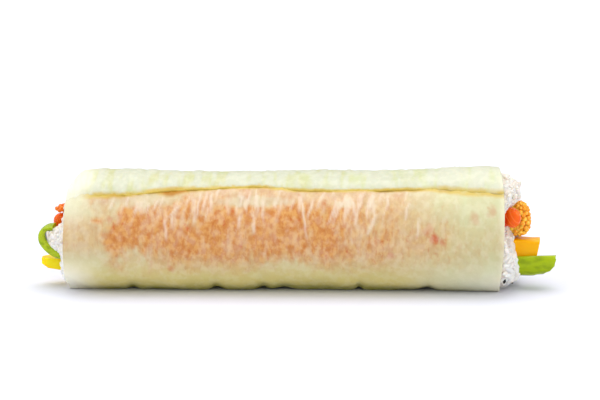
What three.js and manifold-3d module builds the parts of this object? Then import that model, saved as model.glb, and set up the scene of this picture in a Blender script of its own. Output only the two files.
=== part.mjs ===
// A sushi burrito: one long hand roll that lies on its side.
//
// A thin translucent wrap is wound once round a bed of rice and laps over itself along the top, and four
// fillings run through the rice from end to end: a bar of salmon, a run of fish roe, a baton of yellow
// pepper and a strip of green pepper. What sticks out at the two ends is rice and the ends of those four.
//
// Units are millimetres. +X runs along the roll, -Y is the front, where the free edge of the wrap shows,
// and +Z is up. The origin is the middle of the flat strip that the roll rests on.
//
// Angles round the roll are measured from the front (0) over the top (90) to the back (180), and the
// underside is at -90.

import * as THREE from "three";
import { mergeVertices } from "three/addons/utils/BufferGeometryUtils.js";
import Module from "manifold-3d";

const { degToRad, lerp, radToDeg, smoothstep } = THREE.MathUtils;

// ---- driving dimensions ------------------------------------------------------------------------------

const ROLL_LENGTH = 190; // the short side of a full sheet of wrap, before its left edge is drawn in
const ROLL_WIDTH = 54; // front to back
const ROLL_HEIGHT = 48.8; // from the rest face to the top of the single layer
const FLAT_DEPTH = 0.9; // how far the roll's round underside is pressed flat
const FLAT_ANGLE = 19; // degrees: how far the flat strip reaches round the roll, each way from the foot
const FLAT_FADE = 7; // degrees more, over which the round form is back
const WRAP_THICKNESS = 1;
const CLEARANCE = 0.3; // air between two pieces that touch

const FLAP_EDGE = 54; // degrees: where the free edge of the wrap lies
const SHEET_STEP = 9; // degrees between two rows of the wrap
const INNER_EDGE = 153; // degrees: where the wrap starts, under the flap
const SHEET_STEPS = (360 + INNER_EDGE - FLAP_EDGE) / SHEET_STEP;
const STRETCHED_ROWS = 5; // the rows next to the free edge, which stretch to reach it
const LIFT_FROM = 300; // degrees of winding after which the sheet rises on to its own first edge
const LIFT_DONE = 355;
const WRAP_SEGMENTS = 15;

// The free edge wanders along the roll, and hangs lower at both ends. Angles are in degrees.
const FLAP = { sway: 2.2, swayPitch: 13.7, ripple: 0.8, ripplePitch: 6.3 };
const FLAP_DROOPS = [
  { side: -1, from: 25, to: 80, by: 6 },
  { side: -1, from: 70, to: 95, by: 7 },
  { side: 1, from: 45, to: 85, by: 5 },
];

const RICE_POINTS = 40;
const RICE_SEGMENTS = 8;
const DOME_SHARES = [0.12, 0.3, 0.54, 0.78, 0.92, 0.99]; // of the radius, in the rings of a domed end
const DOME_POWER = 10;

// How far the rice stands out of the wrap at each end, with its mounds and hollows: y and z of the middle,
// how wide and high they are, and how far they rise. On the right the rice gives way in front of the
// salmon and the roe, and bulges above them and at the foot. On the left it fills the pepper's hook, and
// stands out a little low on the front.
const RIGHT_HEAP = {
  out: 6.6,
  mounds: [
    { y: -20, z: 30, wide: 15, high: 9.4, rise: -12 },
    { y: 0, z: 43, wide: 18, high: 6, rise: 2.6 },
    { y: -6, z: 6, wide: 16, high: 7, rise: 1.8 },
  ],
};
const LEFT_HEAP = {
  out: 0.5,
  mounds: [
    { y: -7.5, z: 22, wide: 8, high: 5.8, rise: 9.4 },
    { y: -16, z: 7, wide: 10, high: 6, rise: 2 },
  ],
};

const END_SWELL = 1.2; // the right end is fatter, and the left end is drawn in
const END_SWELL_FROM = 40;
const END_SQUEEZE = 1.25; // at the sides; more at the top and less at the foot
const END_SQUEEZE_UP = 0.95;
const END_SQUEEZE_LENGTH = 14;
const BULGE = { along: 0.25, alongPitch: 13, facing: 1.2, around: 0.3, lobes: 3, twistPitch: 31 };

const LEAN_LENGTH = 12; // over which a bar's right end leans, its upper edge out or in
const NOSE_FACE = 0.2;
const WEDGE_FACE = 0.6;

// Both edges of the wrap are drawn back at the top, and the right one at the foot too. The power says how
// narrowly, and the turns, in radians, how far round from the very top and the very foot.
const LEFT_EDGE = { inset: 3.4, drawnBack: 5, power: 8, wave: 0.5, wavePhase: 40 };
const RIGHT_EDGE = { lean: 0.5, top: 2, topTurn: 0.44, foot: 2.8, footTurn: 0.35, power: 4, wave: 0.4 };

const HALF_LENGTH = ROLL_LENGTH / 2;
const HALF_WIDTH = ROLL_WIDTH / 2;
const HALF_HEIGHT = (ROLL_HEIGHT + FLAT_DEPTH) / 2;
const CENTRE_HEIGHT = HALF_HEIGHT - FLAT_DEPTH;

// ---- the roll's own form -----------------------------------------------------------------------------

/** How much larger than the plain ellipse the roll is at this place along it and round it. */
function swell(x, angle) {
  const fatEnd = END_SWELL * smoothstep(x, END_SWELL_FROM, HALF_LENGTH);
  const squeeze = END_SQUEEZE + END_SQUEEZE_UP * Math.sin(angle);
  const thinEnd = squeeze * smoothstep(-x, HALF_LENGTH - END_SQUEEZE_LENGTH, HALF_LENGTH);
  const along = BULGE.along * Math.sin(x / BULGE.alongPitch + 1) * Math.cos(angle - BULGE.facing);
  const around = BULGE.around * Math.sin(BULGE.lobes * angle + x / BULGE.twistPitch);
  return fatEnd - thinEnd + along + around;
}

/**
 * A point of the roll's section: the ellipse's radius at the angle, grown by the swell and drawn in by the
 * depth below the surface. It lies on the ground all along the flat strip, and sinks into it nowhere.
 */
function rollPoint(x, degrees, depth) {
  const angle = degToRad(degrees);
  const [c, s] = [Math.cos(angle), Math.sin(angle)];
  const ellipse = (HALF_WIDTH * HALF_HEIGHT) / Math.hypot(HALF_HEIGHT * c, HALF_WIDTH * s);
  const round = ellipse + swell(x, angle) - depth;
  const ground = (CENTRE_HEIGHT - Math.max(depth, 0)) / Math.max(-s, 0.01);
  const fromFoot = radToDeg(Math.acos(-s));
  const pressed = 1 - smoothstep(fromFoot, FLAT_ANGLE, FLAT_ANGLE + FLAT_FADE);
  const radius = Math.min(ground, lerp(round, ground, pressed));
  return { y: -radius * c, z: CENTRE_HEIGHT + radius * s };
}

/** Where the wrap ends on the left, at an angle round the roll. */
function leftEdge(degrees) {
  const up = Math.max(0, Math.sin(degToRad(degrees)));
  const wave = LEFT_EDGE.wave * Math.sin(degToRad(2 * degrees + LEFT_EDGE.wavePhase));
  return -HALF_LENGTH + LEFT_EDGE.inset + LEFT_EDGE.drawnBack * up ** LEFT_EDGE.power + wave;
}

/** Where the wrap ends on the right. */
function rightEdge(degrees) {
  const angle = degToRad(degrees);
  const top = RIGHT_EDGE.top * Math.max(0, Math.sin(angle - RIGHT_EDGE.topTurn)) ** RIGHT_EDGE.power;
  const foot = RIGHT_EDGE.foot * Math.max(0, Math.sin(RIGHT_EDGE.footTurn - angle)) ** RIGHT_EDGE.power;
  const lean = RIGHT_EDGE.lean * Math.sin(angle);
  return HALF_LENGTH - lean - top - foot + RIGHT_EDGE.wave * Math.sin(3 * angle);
}

// ---- meshes from rings -------------------------------------------------------------------------------

/**
 * A closed geometry from rings of points. Each ring holds as many points as the others, counterclockwise
 * as seen from the ring after it, and an outline of the same points in two dimensions, which closes the
 * first and the last ring.
 */
function loft(rings) {
  const count = rings[0].points.length;
  const faces = [];
  for (let i = 0; i + 1 < rings.length; i++) {
    for (let j = 0; j < count; j++) {
      const [a, b] = [i * count + j, i * count + ((j + 1) % count)];
      faces.push(a, b, a + count, b, b + count, a + count);
    }
  }
  const lastRing = (rings.length - 1) * count;
  for (const [a, b, c] of THREE.ShapeUtils.triangulateShape(rings[0].outline, [])) {
    faces.push(a, c, b);
  }
  for (const [a, b, c] of THREE.ShapeUtils.triangulateShape(rings.at(-1).outline, [])) {
    faces.push(lastRing + a, lastRing + b, lastRing + c);
  }
  const positions = rings.flatMap((ring) => ring.points.flatMap((p) => p.toArray()));
  const geometry = new THREE.BufferGeometry();
  geometry.setAttribute("position", new THREE.Float32BufferAttribute(positions, 3));
  geometry.setIndex(faces);
  return geometry;
}

/** A ring across the X axis from its points. */
function ringAcross(points) {
  return { points, outline: points.map((p) => new THREE.Vector2(p.y, p.z)) };
}

// ---- wrap --------------------------------------------------------------------------------------------

/** Degrees of winding at the free edge. */
function windingAtFlap(x) {
  const sway = FLAP.sway * Math.sin(x / FLAP.swayPitch);
  const ripple = FLAP.ripple * Math.sin(x / FLAP.ripplePitch);
  const droops = FLAP_DROOPS.map((d) => d.by * smoothstep(d.side * x, d.from, d.to));
  return droops.reduce((sum, droop) => sum + droop, SHEET_STEPS * SHEET_STEP + sway + ripple);
}

/** The sheet's section: out along its outer face and back along its inner face. */
function wrapRing(t) {
  const outer = [];
  const inner = [];
  for (let row = 0; row <= SHEET_STEPS; row++) {
    const plain = row * SHEET_STEP;
    const fixed = (SHEET_STEPS - STRETCHED_ROWS) * SHEET_STEP;
    const middle = lerp(leftEdge(INNER_EDGE - plain), rightEdge(INNER_EDGE - plain), t);
    const stretch = (windingAtFlap(middle) - fixed) / (STRETCHED_ROWS * SHEET_STEP);
    const winding = plain <= fixed ? plain : fixed + (plain - fixed) * stretch;
    const angle = INNER_EDGE - winding;
    const x = lerp(leftEdge(angle), rightEdge(angle), t);
    const lift = (WRAP_THICKNESS + CLEARANCE) * smoothstep(winding, LIFT_FROM, LIFT_DONE);
    const top = rollPoint(x, angle, -lift);
    const under = rollPoint(x, angle, WRAP_THICKNESS - lift);
    outer.push(new THREE.Vector3(x, top.y, top.z));
    inner.push(new THREE.Vector3(x, under.y, under.z));
  }
  // The winding goes from the back over the top to the front, which is counterclockwise seen from +X.
  return ringAcross([...outer, ...inner.reverse()]);
}

function wrapGeometry() {
  const rings = [];
  for (let i = 0; i <= WRAP_SEGMENTS; i++) rings.push(wrapRing(i / WRAP_SEGMENTS));
  return loft(rings);
}

// ---- fillings ----------------------------------------------------------------------------------------

/** A smooth curve through the stations' values for the given keys, with x as its first coordinate. */
function curveThrough(stations, [second, third]) {
  const points = stations.map((s) => new THREE.Vector3(s.x, s[second], s[third]));
  return new THREE.CatmullRomCurve3(points, false, "catmullrom", 0.5);
}

/**
 * A bar along the roll. The stations give the place and the half sizes of its section, a superellipse
 * of the given squareness. Each end narrows over its tip length, to a rounded nose or to a wedge, and
 * closes with a small flat face, NOSE_FACE or WEDGE_FACE of its full section.
 */
function barGeometry(bar, grow = 0) {
  const place = curveThrough(bar.stations, ["y", "z"]);
  const size = curveThrough(bar.stations, ["halfWidth", "halfHeight"]);
  const [first, last] = [bar.stations[0].x - grow, bar.stations.at(-1).x + grow];
  const steps = [];
  for (let k = 0; k < bar.tipRings; k++) {
    steps.push(first + bar.startTip * (1 - Math.cos(((k / bar.tipRings) * Math.PI) / 2)));
  }
  for (let k = 0; k <= bar.segments; k++) {
    steps.push(lerp(first + bar.startTip, last - bar.endTip, k / bar.segments));
  }
  for (let k = bar.tipRings - 1; k >= 0; k--) {
    steps.push(last - bar.endTip * (1 - Math.cos(((k / bar.tipRings) * Math.PI) / 2)));
  }
  const rings = steps.map((x) => {
    const t = parameterAt(place, x);
    const centre = place.getPoint(t);
    const half = size.getPoint(t);
    const nose = (d, tip) => {
      const share = Math.min(1, d / tip);
      const round = Math.sqrt(1 - (1 - share) ** 2);
      return bar.wedge ? Math.max(WEDGE_FACE, share) : Math.max(NOSE_FACE, round);
    };
    const narrow = Math.min(nose(x - first, bar.startTip), bar.bluntEnd ? 1 : nose(last - x, bar.endTip));
    const points = [];
    for (let k = 0; k < bar.points; k++) {
      const angle = ((k + 0.5) / bar.points) * 2 * Math.PI;
      const [c, s] = [Math.cos(angle), Math.sin(angle)];
      const power = 2 / bar.squareness;
      const lump = 1 + (bar.lumps ?? 0) * lumpiness(x, angle);
      const y = (half.y * narrow * lump + grow) * Math.sign(c) * Math.abs(c) ** power;
      const z = (half.z * narrow * lump + grow) * Math.sign(s) * Math.abs(s) ** power;
      const lean = ((bar.lean ?? 0) * smoothstep(x, last - LEAN_LENGTH, last) * z) / half.z;
      points.push(new THREE.Vector3(x + lean, centre.y + y, centre.z + z));
    }
    return ringAcross(points);
  });
  return loft(rings);
}

/** Rounded lumps a few millimetres apart, from -1 to 1. */
function lumpiness(x, angle) {
  return Math.sin(5 * angle + x / 1.7) * Math.sin(x / 1.3 + 2 * angle);
}

/** The curve's parameter at this x, found by halving; x grows along the curve. */
function parameterAt(curve, x) {
  let [low, high] = [0, 1];
  for (let i = 0; i < 30; i++) {
    const middle = (low + high) / 2;
    if (curve.getPoint(middle).x < x) low = middle;
    else high = middle;
  }
  return (low + high) / 2;
}

const SALMON = {
  squareness: 3.2,
  points: 14,
  segments: 9,
  tipRings: 4,
  startTip: 3,
  endTip: 3.4,
  stations: [
    { x: -100.6, y: 4.8, z: 27.1, halfWidth: 3.7, halfHeight: 3.5 },
    { x: -62, y: 0.4, z: 29.4, halfWidth: 3.5, halfHeight: 3.7 },
    { x: -28, y: -4.2, z: 30.8, halfWidth: 3.4, halfHeight: 3.9 },
    { x: 20, y: -5.2, z: 31.4, halfWidth: 3.5, halfHeight: 4.1 },
    { x: 70, y: -8.6, z: 31.6, halfWidth: 3.4, halfHeight: 4.2 },
    { x: 101.9, y: -13, z: 32.2, halfWidth: 3.4, halfHeight: 4.2 },
  ],
};

const ROE = {
  squareness: 2.8,
  points: 16,
  segments: 11,
  tipRings: 4,
  startTip: 2.5,
  endTip: 4,
  lumps: 0.1,
  stations: [
    { x: -98.2, y: 1.5, z: 33.3, halfWidth: 4, halfHeight: 2 },
    { x: -62, y: 3, z: 36.4, halfWidth: 4.1, halfHeight: 2.1 },
    { x: -30, y: 5.3, z: 34.6, halfWidth: 3.8, halfHeight: 4 },
    { x: 20, y: 4.4, z: 31.8, halfWidth: 4.4, halfHeight: 5.8 },
    { x: 70, y: 2.4, z: 30.8, halfWidth: 5.4, halfHeight: 6.4 },
    { x: 105.4, y: -1.2, z: 29.6, halfWidth: 6.8, halfHeight: 7.9 },
  ],
};

const YELLOW_PEPPER = {
  squareness: 7,
  points: 16,
  segments: 9,
  tipRings: 3,
  startTip: 3,
  endTip: 0.6,
  wedge: true,
  bluntEnd: true,
  lean: 0.9,
  stations: [
    { x: -105.6, y: 2.6, z: 10.4, halfWidth: 3.6, halfHeight: 2.2 },
    { x: -96, y: 3.4, z: 8.1, halfWidth: 4, halfHeight: 2.7 },
    { x: -84, y: 4.8, z: 8.8, halfWidth: 4, halfHeight: 3.2 },
    { x: -66, y: 6.4, z: 11.4, halfWidth: 4.2, halfHeight: 3.9 },
    { x: -20, y: 7, z: 14, halfWidth: 4.3, halfHeight: 4.2 },
    { x: 30, y: 7, z: 17.8, halfWidth: 4.3, halfHeight: 4.4 },
    { x: 62, y: 2.6, z: 18.2, halfWidth: 4.3, halfHeight: 4.4 },
    { x: 84, y: -0.6, z: 17.2, halfWidth: 4.3, halfHeight: 4.4 },
    { x: 109.3, y: -0.8, z: 16.8, halfWidth: 4.3, halfHeight: 4.4 },
  ],
};

// The strip of green pepper: the middle line of its wall, from the tip of the hook that it makes at the
// left end, round the hook and along the roll.
const GREEN_PEPPER = {
  path: [
    [-98.6, -4.9, 26.6],
    [-101.6, -4.9, 26.4],
    [-103.5, -4.8, 24.4],
    [-103.6, -4.7, 21.2],
    [-101.4, -4.6, 18.2],
    [-98, -4.7, 16],
    [-92, -5.2, 14.2],
    [-75, -5.8, 12],
    [-30, -6, 10.8],
    [20, -5.6, 9.4],
    [60, -4, 7.2],
    [95, -2.6, 6.7],
    [117, -2.4, 7.3],
  ],
  hookRings: 12,
  hookShare: 0.11, // the hook's share of the strip's length
  runRings: 12,
  arcPoints: 9,
  flatWidth: 8.6, // at the hook, where the strip is nearly flat
  gutterWidth: 13.2, // at the right end, where the wall curls into a gutter
  flatBend: 0.35,
  gutterBend: 2.9,
  gutterTilt: 0.52, // the gutter leans back, so its front wall is the higher one
  gutterFrom: -50,
  gutterTo: 88,
  thickness: 2.9,
  tipThickness: 1.8, // at the hook's tip
  tipShares: [0.01, 0.03], // of the strip's length, over which it grows to the full thickness
  heel: 1.7, // how much thicker the strip is where the hook runs into the roll
  heelShares: [0.01, 0.075, 0.1, 0.18], // over which it thickens, and thins again
  rim: 0.4, // how far its two long rims are rounded out, as a share of the thickness
  bow: 6.5, // how far the gutter's floor is cut back at its tip, behind the front rim
  bowLength: 12,
  bowPower: 2.6,
};

function greenPepperGeometry(grow = 0) {
  const strip = GREEN_PEPPER;
  const points = strip.path.map((p) => new THREE.Vector3(...p));
  const path = new THREE.CatmullRomCurve3(points, false, "centripetal");
  const shares = [];
  for (let k = 0; k < strip.hookRings; k++) shares.push((k / strip.hookRings) * strip.hookShare);
  for (let k = 0; k <= strip.runRings; k++) shares.push(lerp(strip.hookShare, 1, k / strip.runRings));
  const tipX = points.at(-1).x;
  const rings = shares.map((share, index) => {
    const centre = path.getPointAt(share);
    const travel = path.getTangentAt(share);
    const across = new THREE.Vector3(0, 1, 0).addScaledVector(travel, -travel.y).normalize();
    const up = new THREE.Vector3().crossVectors(travel, across);
    const end = index === 0 ? -grow : index === shares.length - 1 ? grow : 0;
    centre.addScaledVector(travel, end);
    const gutter = smoothstep(centre.x, strip.gutterFrom, strip.gutterTo);
    const width = lerp(strip.flatWidth, strip.gutterWidth, gutter);
    const bend = lerp(strip.flatBend, strip.gutterBend, gutter);
    const tilt = strip.gutterTilt * gutter;
    const radius = width / bend;
    const thickness = lerp(strip.tipThickness, strip.thickness, smoothstep(share, ...strip.tipShares));
    const [swells, swollen, thins, thin] = strip.heelShares;
    const heel = strip.heel * smoothstep(share, swells, swollen) * (1 - smoothstep(share, thins, thin));
    const half = (thickness + heel) / 2 + grow;
    const bowShare = smoothstep(centre.x, tipX - strip.bowLength, tipX);
    const [from, to] = [-bend / 2 - tilt - grow / radius, bend / 2 - tilt + grow / radius];
    const outline = [];
    const ring = [];
    const add = (angle, r) => {
      const local = new THREE.Vector2(r * Math.sin(angle), radius - r * Math.cos(angle));
      const point = centre.clone().addScaledVector(across, local.x).addScaledVector(up, local.y);
      const height = Math.min(1, (1 - Math.cos(angle)) / (1 - Math.cos(from)));
      point.x -= strip.bow * bowShare * (1 - height) ** strip.bowPower;
      outline.push(local);
      ring.push(point);
    };
    const rim = (strip.rim * thickness) / radius;
    const steps = strip.arcPoints - 1;
    const angles = Array.from({ length: strip.arcPoints }, (_, k) => lerp(from, to, k / steps));
    for (const angle of angles) add(angle, radius + half);
    add(to + rim, radius);
    for (const angle of angles.reverse()) add(angle, radius - half);
    add(from - rim, radius);
    return { points: ring, outline };
  });
  return loft(rings);
}

// ---- rice --------------------------------------------------------------------------------------------

/** How far the heap stands out of the wrap at this place of the section. */
function standOut(heap, y, z) {
  const rises = heap.mounds.map((mound) => {
    const [across, up] = [(y - mound.y) / mound.wide, (z - mound.z) / mound.high];
    return mound.rise * Math.exp(-(across ** 2) - up ** 2);
  });
  return rises.reduce((sum, rise) => sum + rise, heap.out);
}

/** One ring of the bed's outline: share of the full radius, and x at each angle and place. */
function riceRing(share, xAt) {
  const points = [];
  for (let k = 0; k < RICE_POINTS; k++) {
    const degrees = 180 - (k * 360) / RICE_POINTS;
    const wound = degrees > -90 ? degrees : degrees + 360;
    const held = xAt(wound, 0, CENTRE_HEIGHT);
    const end = THREE.MathUtils.clamp(held, -HALF_LENGTH, HALF_LENGTH);
    const full = rollPoint(end, degrees, WRAP_THICKNESS + CLEARANCE);
    const y = full.y * share;
    const z = CENTRE_HEIGHT + (full.z - CENTRE_HEIGHT) * share;
    points.push(new THREE.Vector3(xAt(wound, y, z), y, z));
  }
  return ringAcross(points);
}

/** The bed of rice as one outline, domed at both ends, before the fillings are taken out. */
function riceOutline() {
  const height = (share) => 1 - share ** DOME_POWER;
  const left = (s) => (d, y, z) => leftEdge(d) - standOut(LEFT_HEAP, y, z) * height(s);
  const right = (s) => (d, y, z) => rightEdge(d) + standOut(RIGHT_HEAP, y, z) * height(s);
  const rings = DOME_SHARES.map((s) => riceRing(s, left(s)));
  for (let k = 0; k <= RICE_SEGMENTS; k++) {
    const t = k / RICE_SEGMENTS;
    rings.push(riceRing(1, (d) => lerp(leftEdge(d), rightEdge(d), t)));
  }
  for (const s of DOME_SHARES.toReversed()) rings.push(riceRing(s, right(s)));
  return loft(rings);
}

/** Three.js geometry to a manifold-3d solid, and back. */
function toSolid(wasm, geometry) {
  const merged = mergeVertices(geometry, 1e-3);
  return new wasm.Manifold(
    new wasm.Mesh({
      numProp: 3,
      vertProperties: new Float32Array(merged.attributes.position.array),
      triVerts: new Uint32Array(merged.index.array),
    }),
  );
}

function fromSolid(solid) {
  const mesh = solid.getMesh();
  const geometry = new THREE.BufferGeometry();
  geometry.setAttribute("position", new THREE.BufferAttribute(mesh.vertProperties, 3));
  geometry.setIndex(new THREE.BufferAttribute(mesh.triVerts, 1));
  return geometry;
}

/** The bed of rice round the fillings, each of which has its own way through it. */
async function riceGeometry() {
  const wasm = await Module();
  wasm.setup();
  const fillings = [
    barGeometry(SALMON, CLEARANCE),
    barGeometry(ROE, CLEARANCE),
    barGeometry(YELLOW_PEPPER, CLEARANCE),
    greenPepperGeometry(CLEARANCE),
  ];
  let rice = toSolid(wasm, riceOutline());
  for (const filling of fillings) rice = rice.subtract(toSolid(wasm, filling));
  return fromSolid(rice);
}

// ---- the burrito -------------------------------------------------------------------------------------

function piece(name, geometry, color, roughness) {
  geometry.computeVertexNormals();
  const material = new THREE.MeshStandardMaterial({ color, roughness, metalness: 0 });
  const mesh = new THREE.Mesh(geometry, material);
  mesh.name = name;
  return mesh;
}

const burrito = new THREE.Group();
burrito.name = "sushi_burrito";
burrito.add(piece("wrap", wrapGeometry(), 0xe4dcb8, 0.45));
burrito.add(piece("rice", await riceGeometry(), 0xf4f1ec, 0.55));
burrito.add(piece("salmon", barGeometry(SALMON), 0xf4602a, 0.35));
burrito.add(piece("roe", barGeometry(ROE), 0xf79a1e, 0.25));
burrito.add(piece("yellow_pepper", barGeometry(YELLOW_PEPPER), 0xfdb913, 0.3));
burrito.add(piece("green_pepper", greenPepperGeometry(), 0x9dbb22, 0.3));

export default burrito;
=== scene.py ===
"""A sushi burrito lying on a pale studio floor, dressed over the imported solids.

Lengths in the classes are millimetres, as on a drawing, and become metres when a mesh is made. +X runs
along the roll, -Y is the front, +Z is up, and the origin is the middle of the flat strip that the roll
rests on. Angles round the roll are degrees from the front (0) over the top (90) to the back (180), with
the underside at -90.
"""

from __future__ import annotations

import logging
import math
from dataclasses import dataclass, field
from enum import Enum
from typing import Any, Mapping

import bmesh
import bpy
import numpy as np
from mathutils import Matrix, Vector

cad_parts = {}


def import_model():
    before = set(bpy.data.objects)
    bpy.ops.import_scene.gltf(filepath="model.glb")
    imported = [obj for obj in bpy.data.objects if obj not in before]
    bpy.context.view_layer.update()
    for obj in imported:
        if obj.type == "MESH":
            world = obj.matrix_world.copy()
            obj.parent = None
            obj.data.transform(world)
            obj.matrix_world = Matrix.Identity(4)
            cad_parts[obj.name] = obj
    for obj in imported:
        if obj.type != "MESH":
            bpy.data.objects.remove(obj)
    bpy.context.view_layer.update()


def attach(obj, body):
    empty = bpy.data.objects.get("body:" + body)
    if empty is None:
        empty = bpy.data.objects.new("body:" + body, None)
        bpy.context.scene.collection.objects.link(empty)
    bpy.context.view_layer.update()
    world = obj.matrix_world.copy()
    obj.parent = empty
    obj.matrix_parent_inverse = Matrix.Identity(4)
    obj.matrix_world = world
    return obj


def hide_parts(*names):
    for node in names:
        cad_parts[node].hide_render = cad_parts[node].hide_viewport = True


Array = np.ndarray
MM = 0.001
FACTOR, COLOUR_A, COLOUR_B, MIXED = 0, 6, 7, 2  # sockets of a Mix node that mixes colours
GOLDEN_ANGLE = 137.508  # degrees from one point of an even spiral to the next
LOG = logging.getLogger("sushi_burrito")


class Side(Enum):
    """The two open ends of the roll."""

    LEFT = -1
    RIGHT = 1


# ---- numbers -----------------------------------------------------------------------------------------


def ramp(value: Array, low: float, high: float) -> Array:
    """A smooth step: 0 below low, 1 above high, and 3t^2 - 2t^3 between them.

    Args:
        value: The numbers to place between the two limits.
        low: Where the step starts to rise.
        high: Where the step is done.

    Returns:
        The height of the step at each number.
    """
    t = np.clip((np.asarray(value, float) - low) / (high - low), 0, 1)
    return t * t * (3 - 2 * t)


def bell(value: Array, middle: float, wide: float) -> Array:
    """A bell curve: 1 at the middle, and exp(-1) at one width to either side of it."""
    return np.exp(-(((value - middle) / wide) ** 2))


def lattice_noise(x: Array, y: Array, seed: int) -> Array:
    """Smooth noise from -1 to 1: random heights on the corners of unit cells, blended across each cell.

    Args:
        x: First coordinate, in cells.
        y: Second coordinate, in cells.
        seed: Which random heights to use.

    Returns:
        The noise at each place.
    """
    heights = np.random.default_rng(seed).uniform(-1, 1, (256, 256))
    x, y = np.broadcast_arrays(np.asarray(x, float), np.asarray(y, float))
    i, j = np.floor(x).astype(int), np.floor(y).astype(int)
    u, v = ramp(x - i, 0, 1), ramp(y - j, 0, 1)
    i0, i1, j0, j1 = i % 256, (i + 1) % 256, j % 256, (j + 1) % 256
    low = heights[i0, j0] * (1 - u) + heights[i1, j0] * u
    high = heights[i0, j1] * (1 - u) + heights[i1, j1] * u
    return low * (1 - v) + high * v


def clouds(x: Array, y: Array, seed: int, layers: int = 3) -> Array:
    """Noise from about -1 to 1 in layers, each half as high and twice as fine as the one before."""
    total = sum(lattice_noise(x * 2**k, y * 2**k, seed + k) / 2**k for k in range(layers))
    return total / (2 - 2 ** (1 - layers))


def smooth_through(knots: Array, values: Array, at: Array) -> Array:
    """A smooth curve through given values.

    Each span between two knots is a cubic. Its slope at a knot is the slope of the chord between that
    knot's two neighbours.

    Args:
        knots: Rising places of the values, shape (K,).
        values: The values there, shape (K,) or (K, n).
        at: Where to read the curve, shape (N,).

    Returns:
        The curve at those places, shape (N,) or (N, n).
    """
    knots, values, at = (np.asarray(a, float) for a in (knots, values, at))
    flat = values.ndim == 1
    rows = values[:, None] if flat else values
    slopes = np.gradient(rows, knots, axis=0)
    i = np.clip(np.searchsorted(knots, at) - 1, 0, len(knots) - 2)
    span = (knots[i + 1] - knots[i])[:, None]
    t = np.clip((at - knots[i])[:, None] / span, 0, 1)
    curve = (
        (2 * t**3 - 3 * t**2 + 1) * rows[i]
        + (t**3 - 2 * t**2 + t) * span * slopes[i]
        + (3 * t**2 - 2 * t**3) * rows[i + 1]
        + (t**3 - t**2) * span * slopes[i + 1]
    )
    return curve[:, 0] if flat else curve


def unit(vectors: Array) -> Array:
    """Vectors of length 1 along the given ones, whose last axis holds x, y and z."""
    return vectors / np.maximum(np.linalg.norm(vectors, axis=-1, keepdims=True), 1e-9)


def random_turns(rng: np.random.Generator, count: int) -> Array:
    """Draws random rotations.

    Args:
        rng: Where the random numbers come from.
        count: How many.

    Returns:
        (count, 3, 3) matrices: random ones made orthogonal, with a mirrored one's x axis turned round.
    """
    turns = np.linalg.qr(rng.normal(size=(count, 3, 3)))[0]
    turns[:, :, 0] *= np.linalg.det(turns)[:, None]
    return turns


# ---- meshes ------------------------------------------------------------------------------------------


@dataclass
class Surface:
    """Points and faces of a piece, before they become a mesh.

    Attributes:
        points: (N, 3) places in millimetres.
        faces: (M, 4) or (M, 3) corners of each face, counterclockwise as seen from outside.
        values: Named numbers per point, which the materials read as attributes.
    """

    points: Array
    faces: Array
    values: dict[str, Array] = field(default_factory=dict)

    @classmethod
    def from_grid(cls, grid: Array, values: Mapping[str, Array] | None = None) -> Surface:
        """A surface from a grid of points that closes round its second axis.

        Args:
            grid: (rows, columns, 3) points. The columns go round the piece and join up, and the rows go
                along it. The outside is on the left of a column step, seen with the row step going up.
            values: Numbers on the same grid, by name.

        Returns:
            The surface, with one quad for each cell of the grid.
        """
        rows, columns = grid.shape[:2]
        index = np.arange(rows * columns).reshape(rows, columns)
        here, beside = index, np.roll(index, -1, axis=1)
        faces = np.stack([here[:-1], beside[:-1], beside[1:], here[1:]], axis=-1).reshape(-1, 4)
        flat = {name: np.broadcast_to(v, (rows, columns)).ravel() for name, v in (values or {}).items()}
        return cls(grid.reshape(-1, 3), faces, flat)

    def copies(self, places: Array, frames: Array, values: Mapping[str, Array] | None = None) -> Surface:
        """Many turned and stretched copies of this surface as one.

        Args:
            places: (K, 3) where each copy's origin goes.
            frames: (K, 3, 3) whose columns are each copy's own x, y and z axis, with its stretch.
            values: One number for each copy, by name.

        Returns:
            The joined surface.
        """
        points = np.einsum("kij,nj->kni", frames, self.points) + places[:, None, :]
        shift = np.arange(len(places))[:, None, None] * len(self.points)
        faces = (self.faces[None] + shift).reshape(-1, self.faces.shape[1])
        each = {name: np.repeat(v, len(self.points)) for name, v in (values or {}).items()}
        return Surface(points.reshape(-1, 3), faces, each)

    def joined(self, other: Surface) -> Surface:
        """Puts another surface beside this one.

        Args:
            other: One with the same kind of faces and the same values.

        Returns:
            Both as one surface.
        """
        return Surface(
            np.concatenate([self.points, other.points]),
            np.concatenate([self.faces, other.faces + len(self.points)]),
            {name: np.concatenate([v, other.values[name]]) for name, v in self.values.items()},
        )

    def to_object(self, name: str, material: bpy.types.Material) -> bpy.types.Object:
        """Makes the mesh object, in metres, with its doubled points merged and smooth shading.

        Args:
            name: The object's name.
            material: What it is made of.

        Returns:
            The new object, linked to the scene.
        """
        mesh = bpy.data.meshes.new(name)
        mesh.from_pydata(self.points * MM, [], self.faces)
        for key, numbers in self.values.items():
            mesh.attributes.new(key, "FLOAT", "POINT").data.foreach_set("value", numbers.astype(np.float32))
        work = bmesh.new()
        work.from_mesh(mesh)
        bmesh.ops.remove_doubles(work, verts=work.verts, dist=1e-6)
        bmesh.ops.dissolve_degenerate(work, dist=1e-7, edges=work.edges)
        work.to_mesh(mesh)
        work.free()
        mesh.polygons.foreach_set("use_smooth", np.ones(len(mesh.polygons), bool))
        mesh.materials.append(material)
        made = bpy.data.objects.new(name, mesh)
        bpy.context.scene.collection.objects.link(made)
        return made


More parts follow.
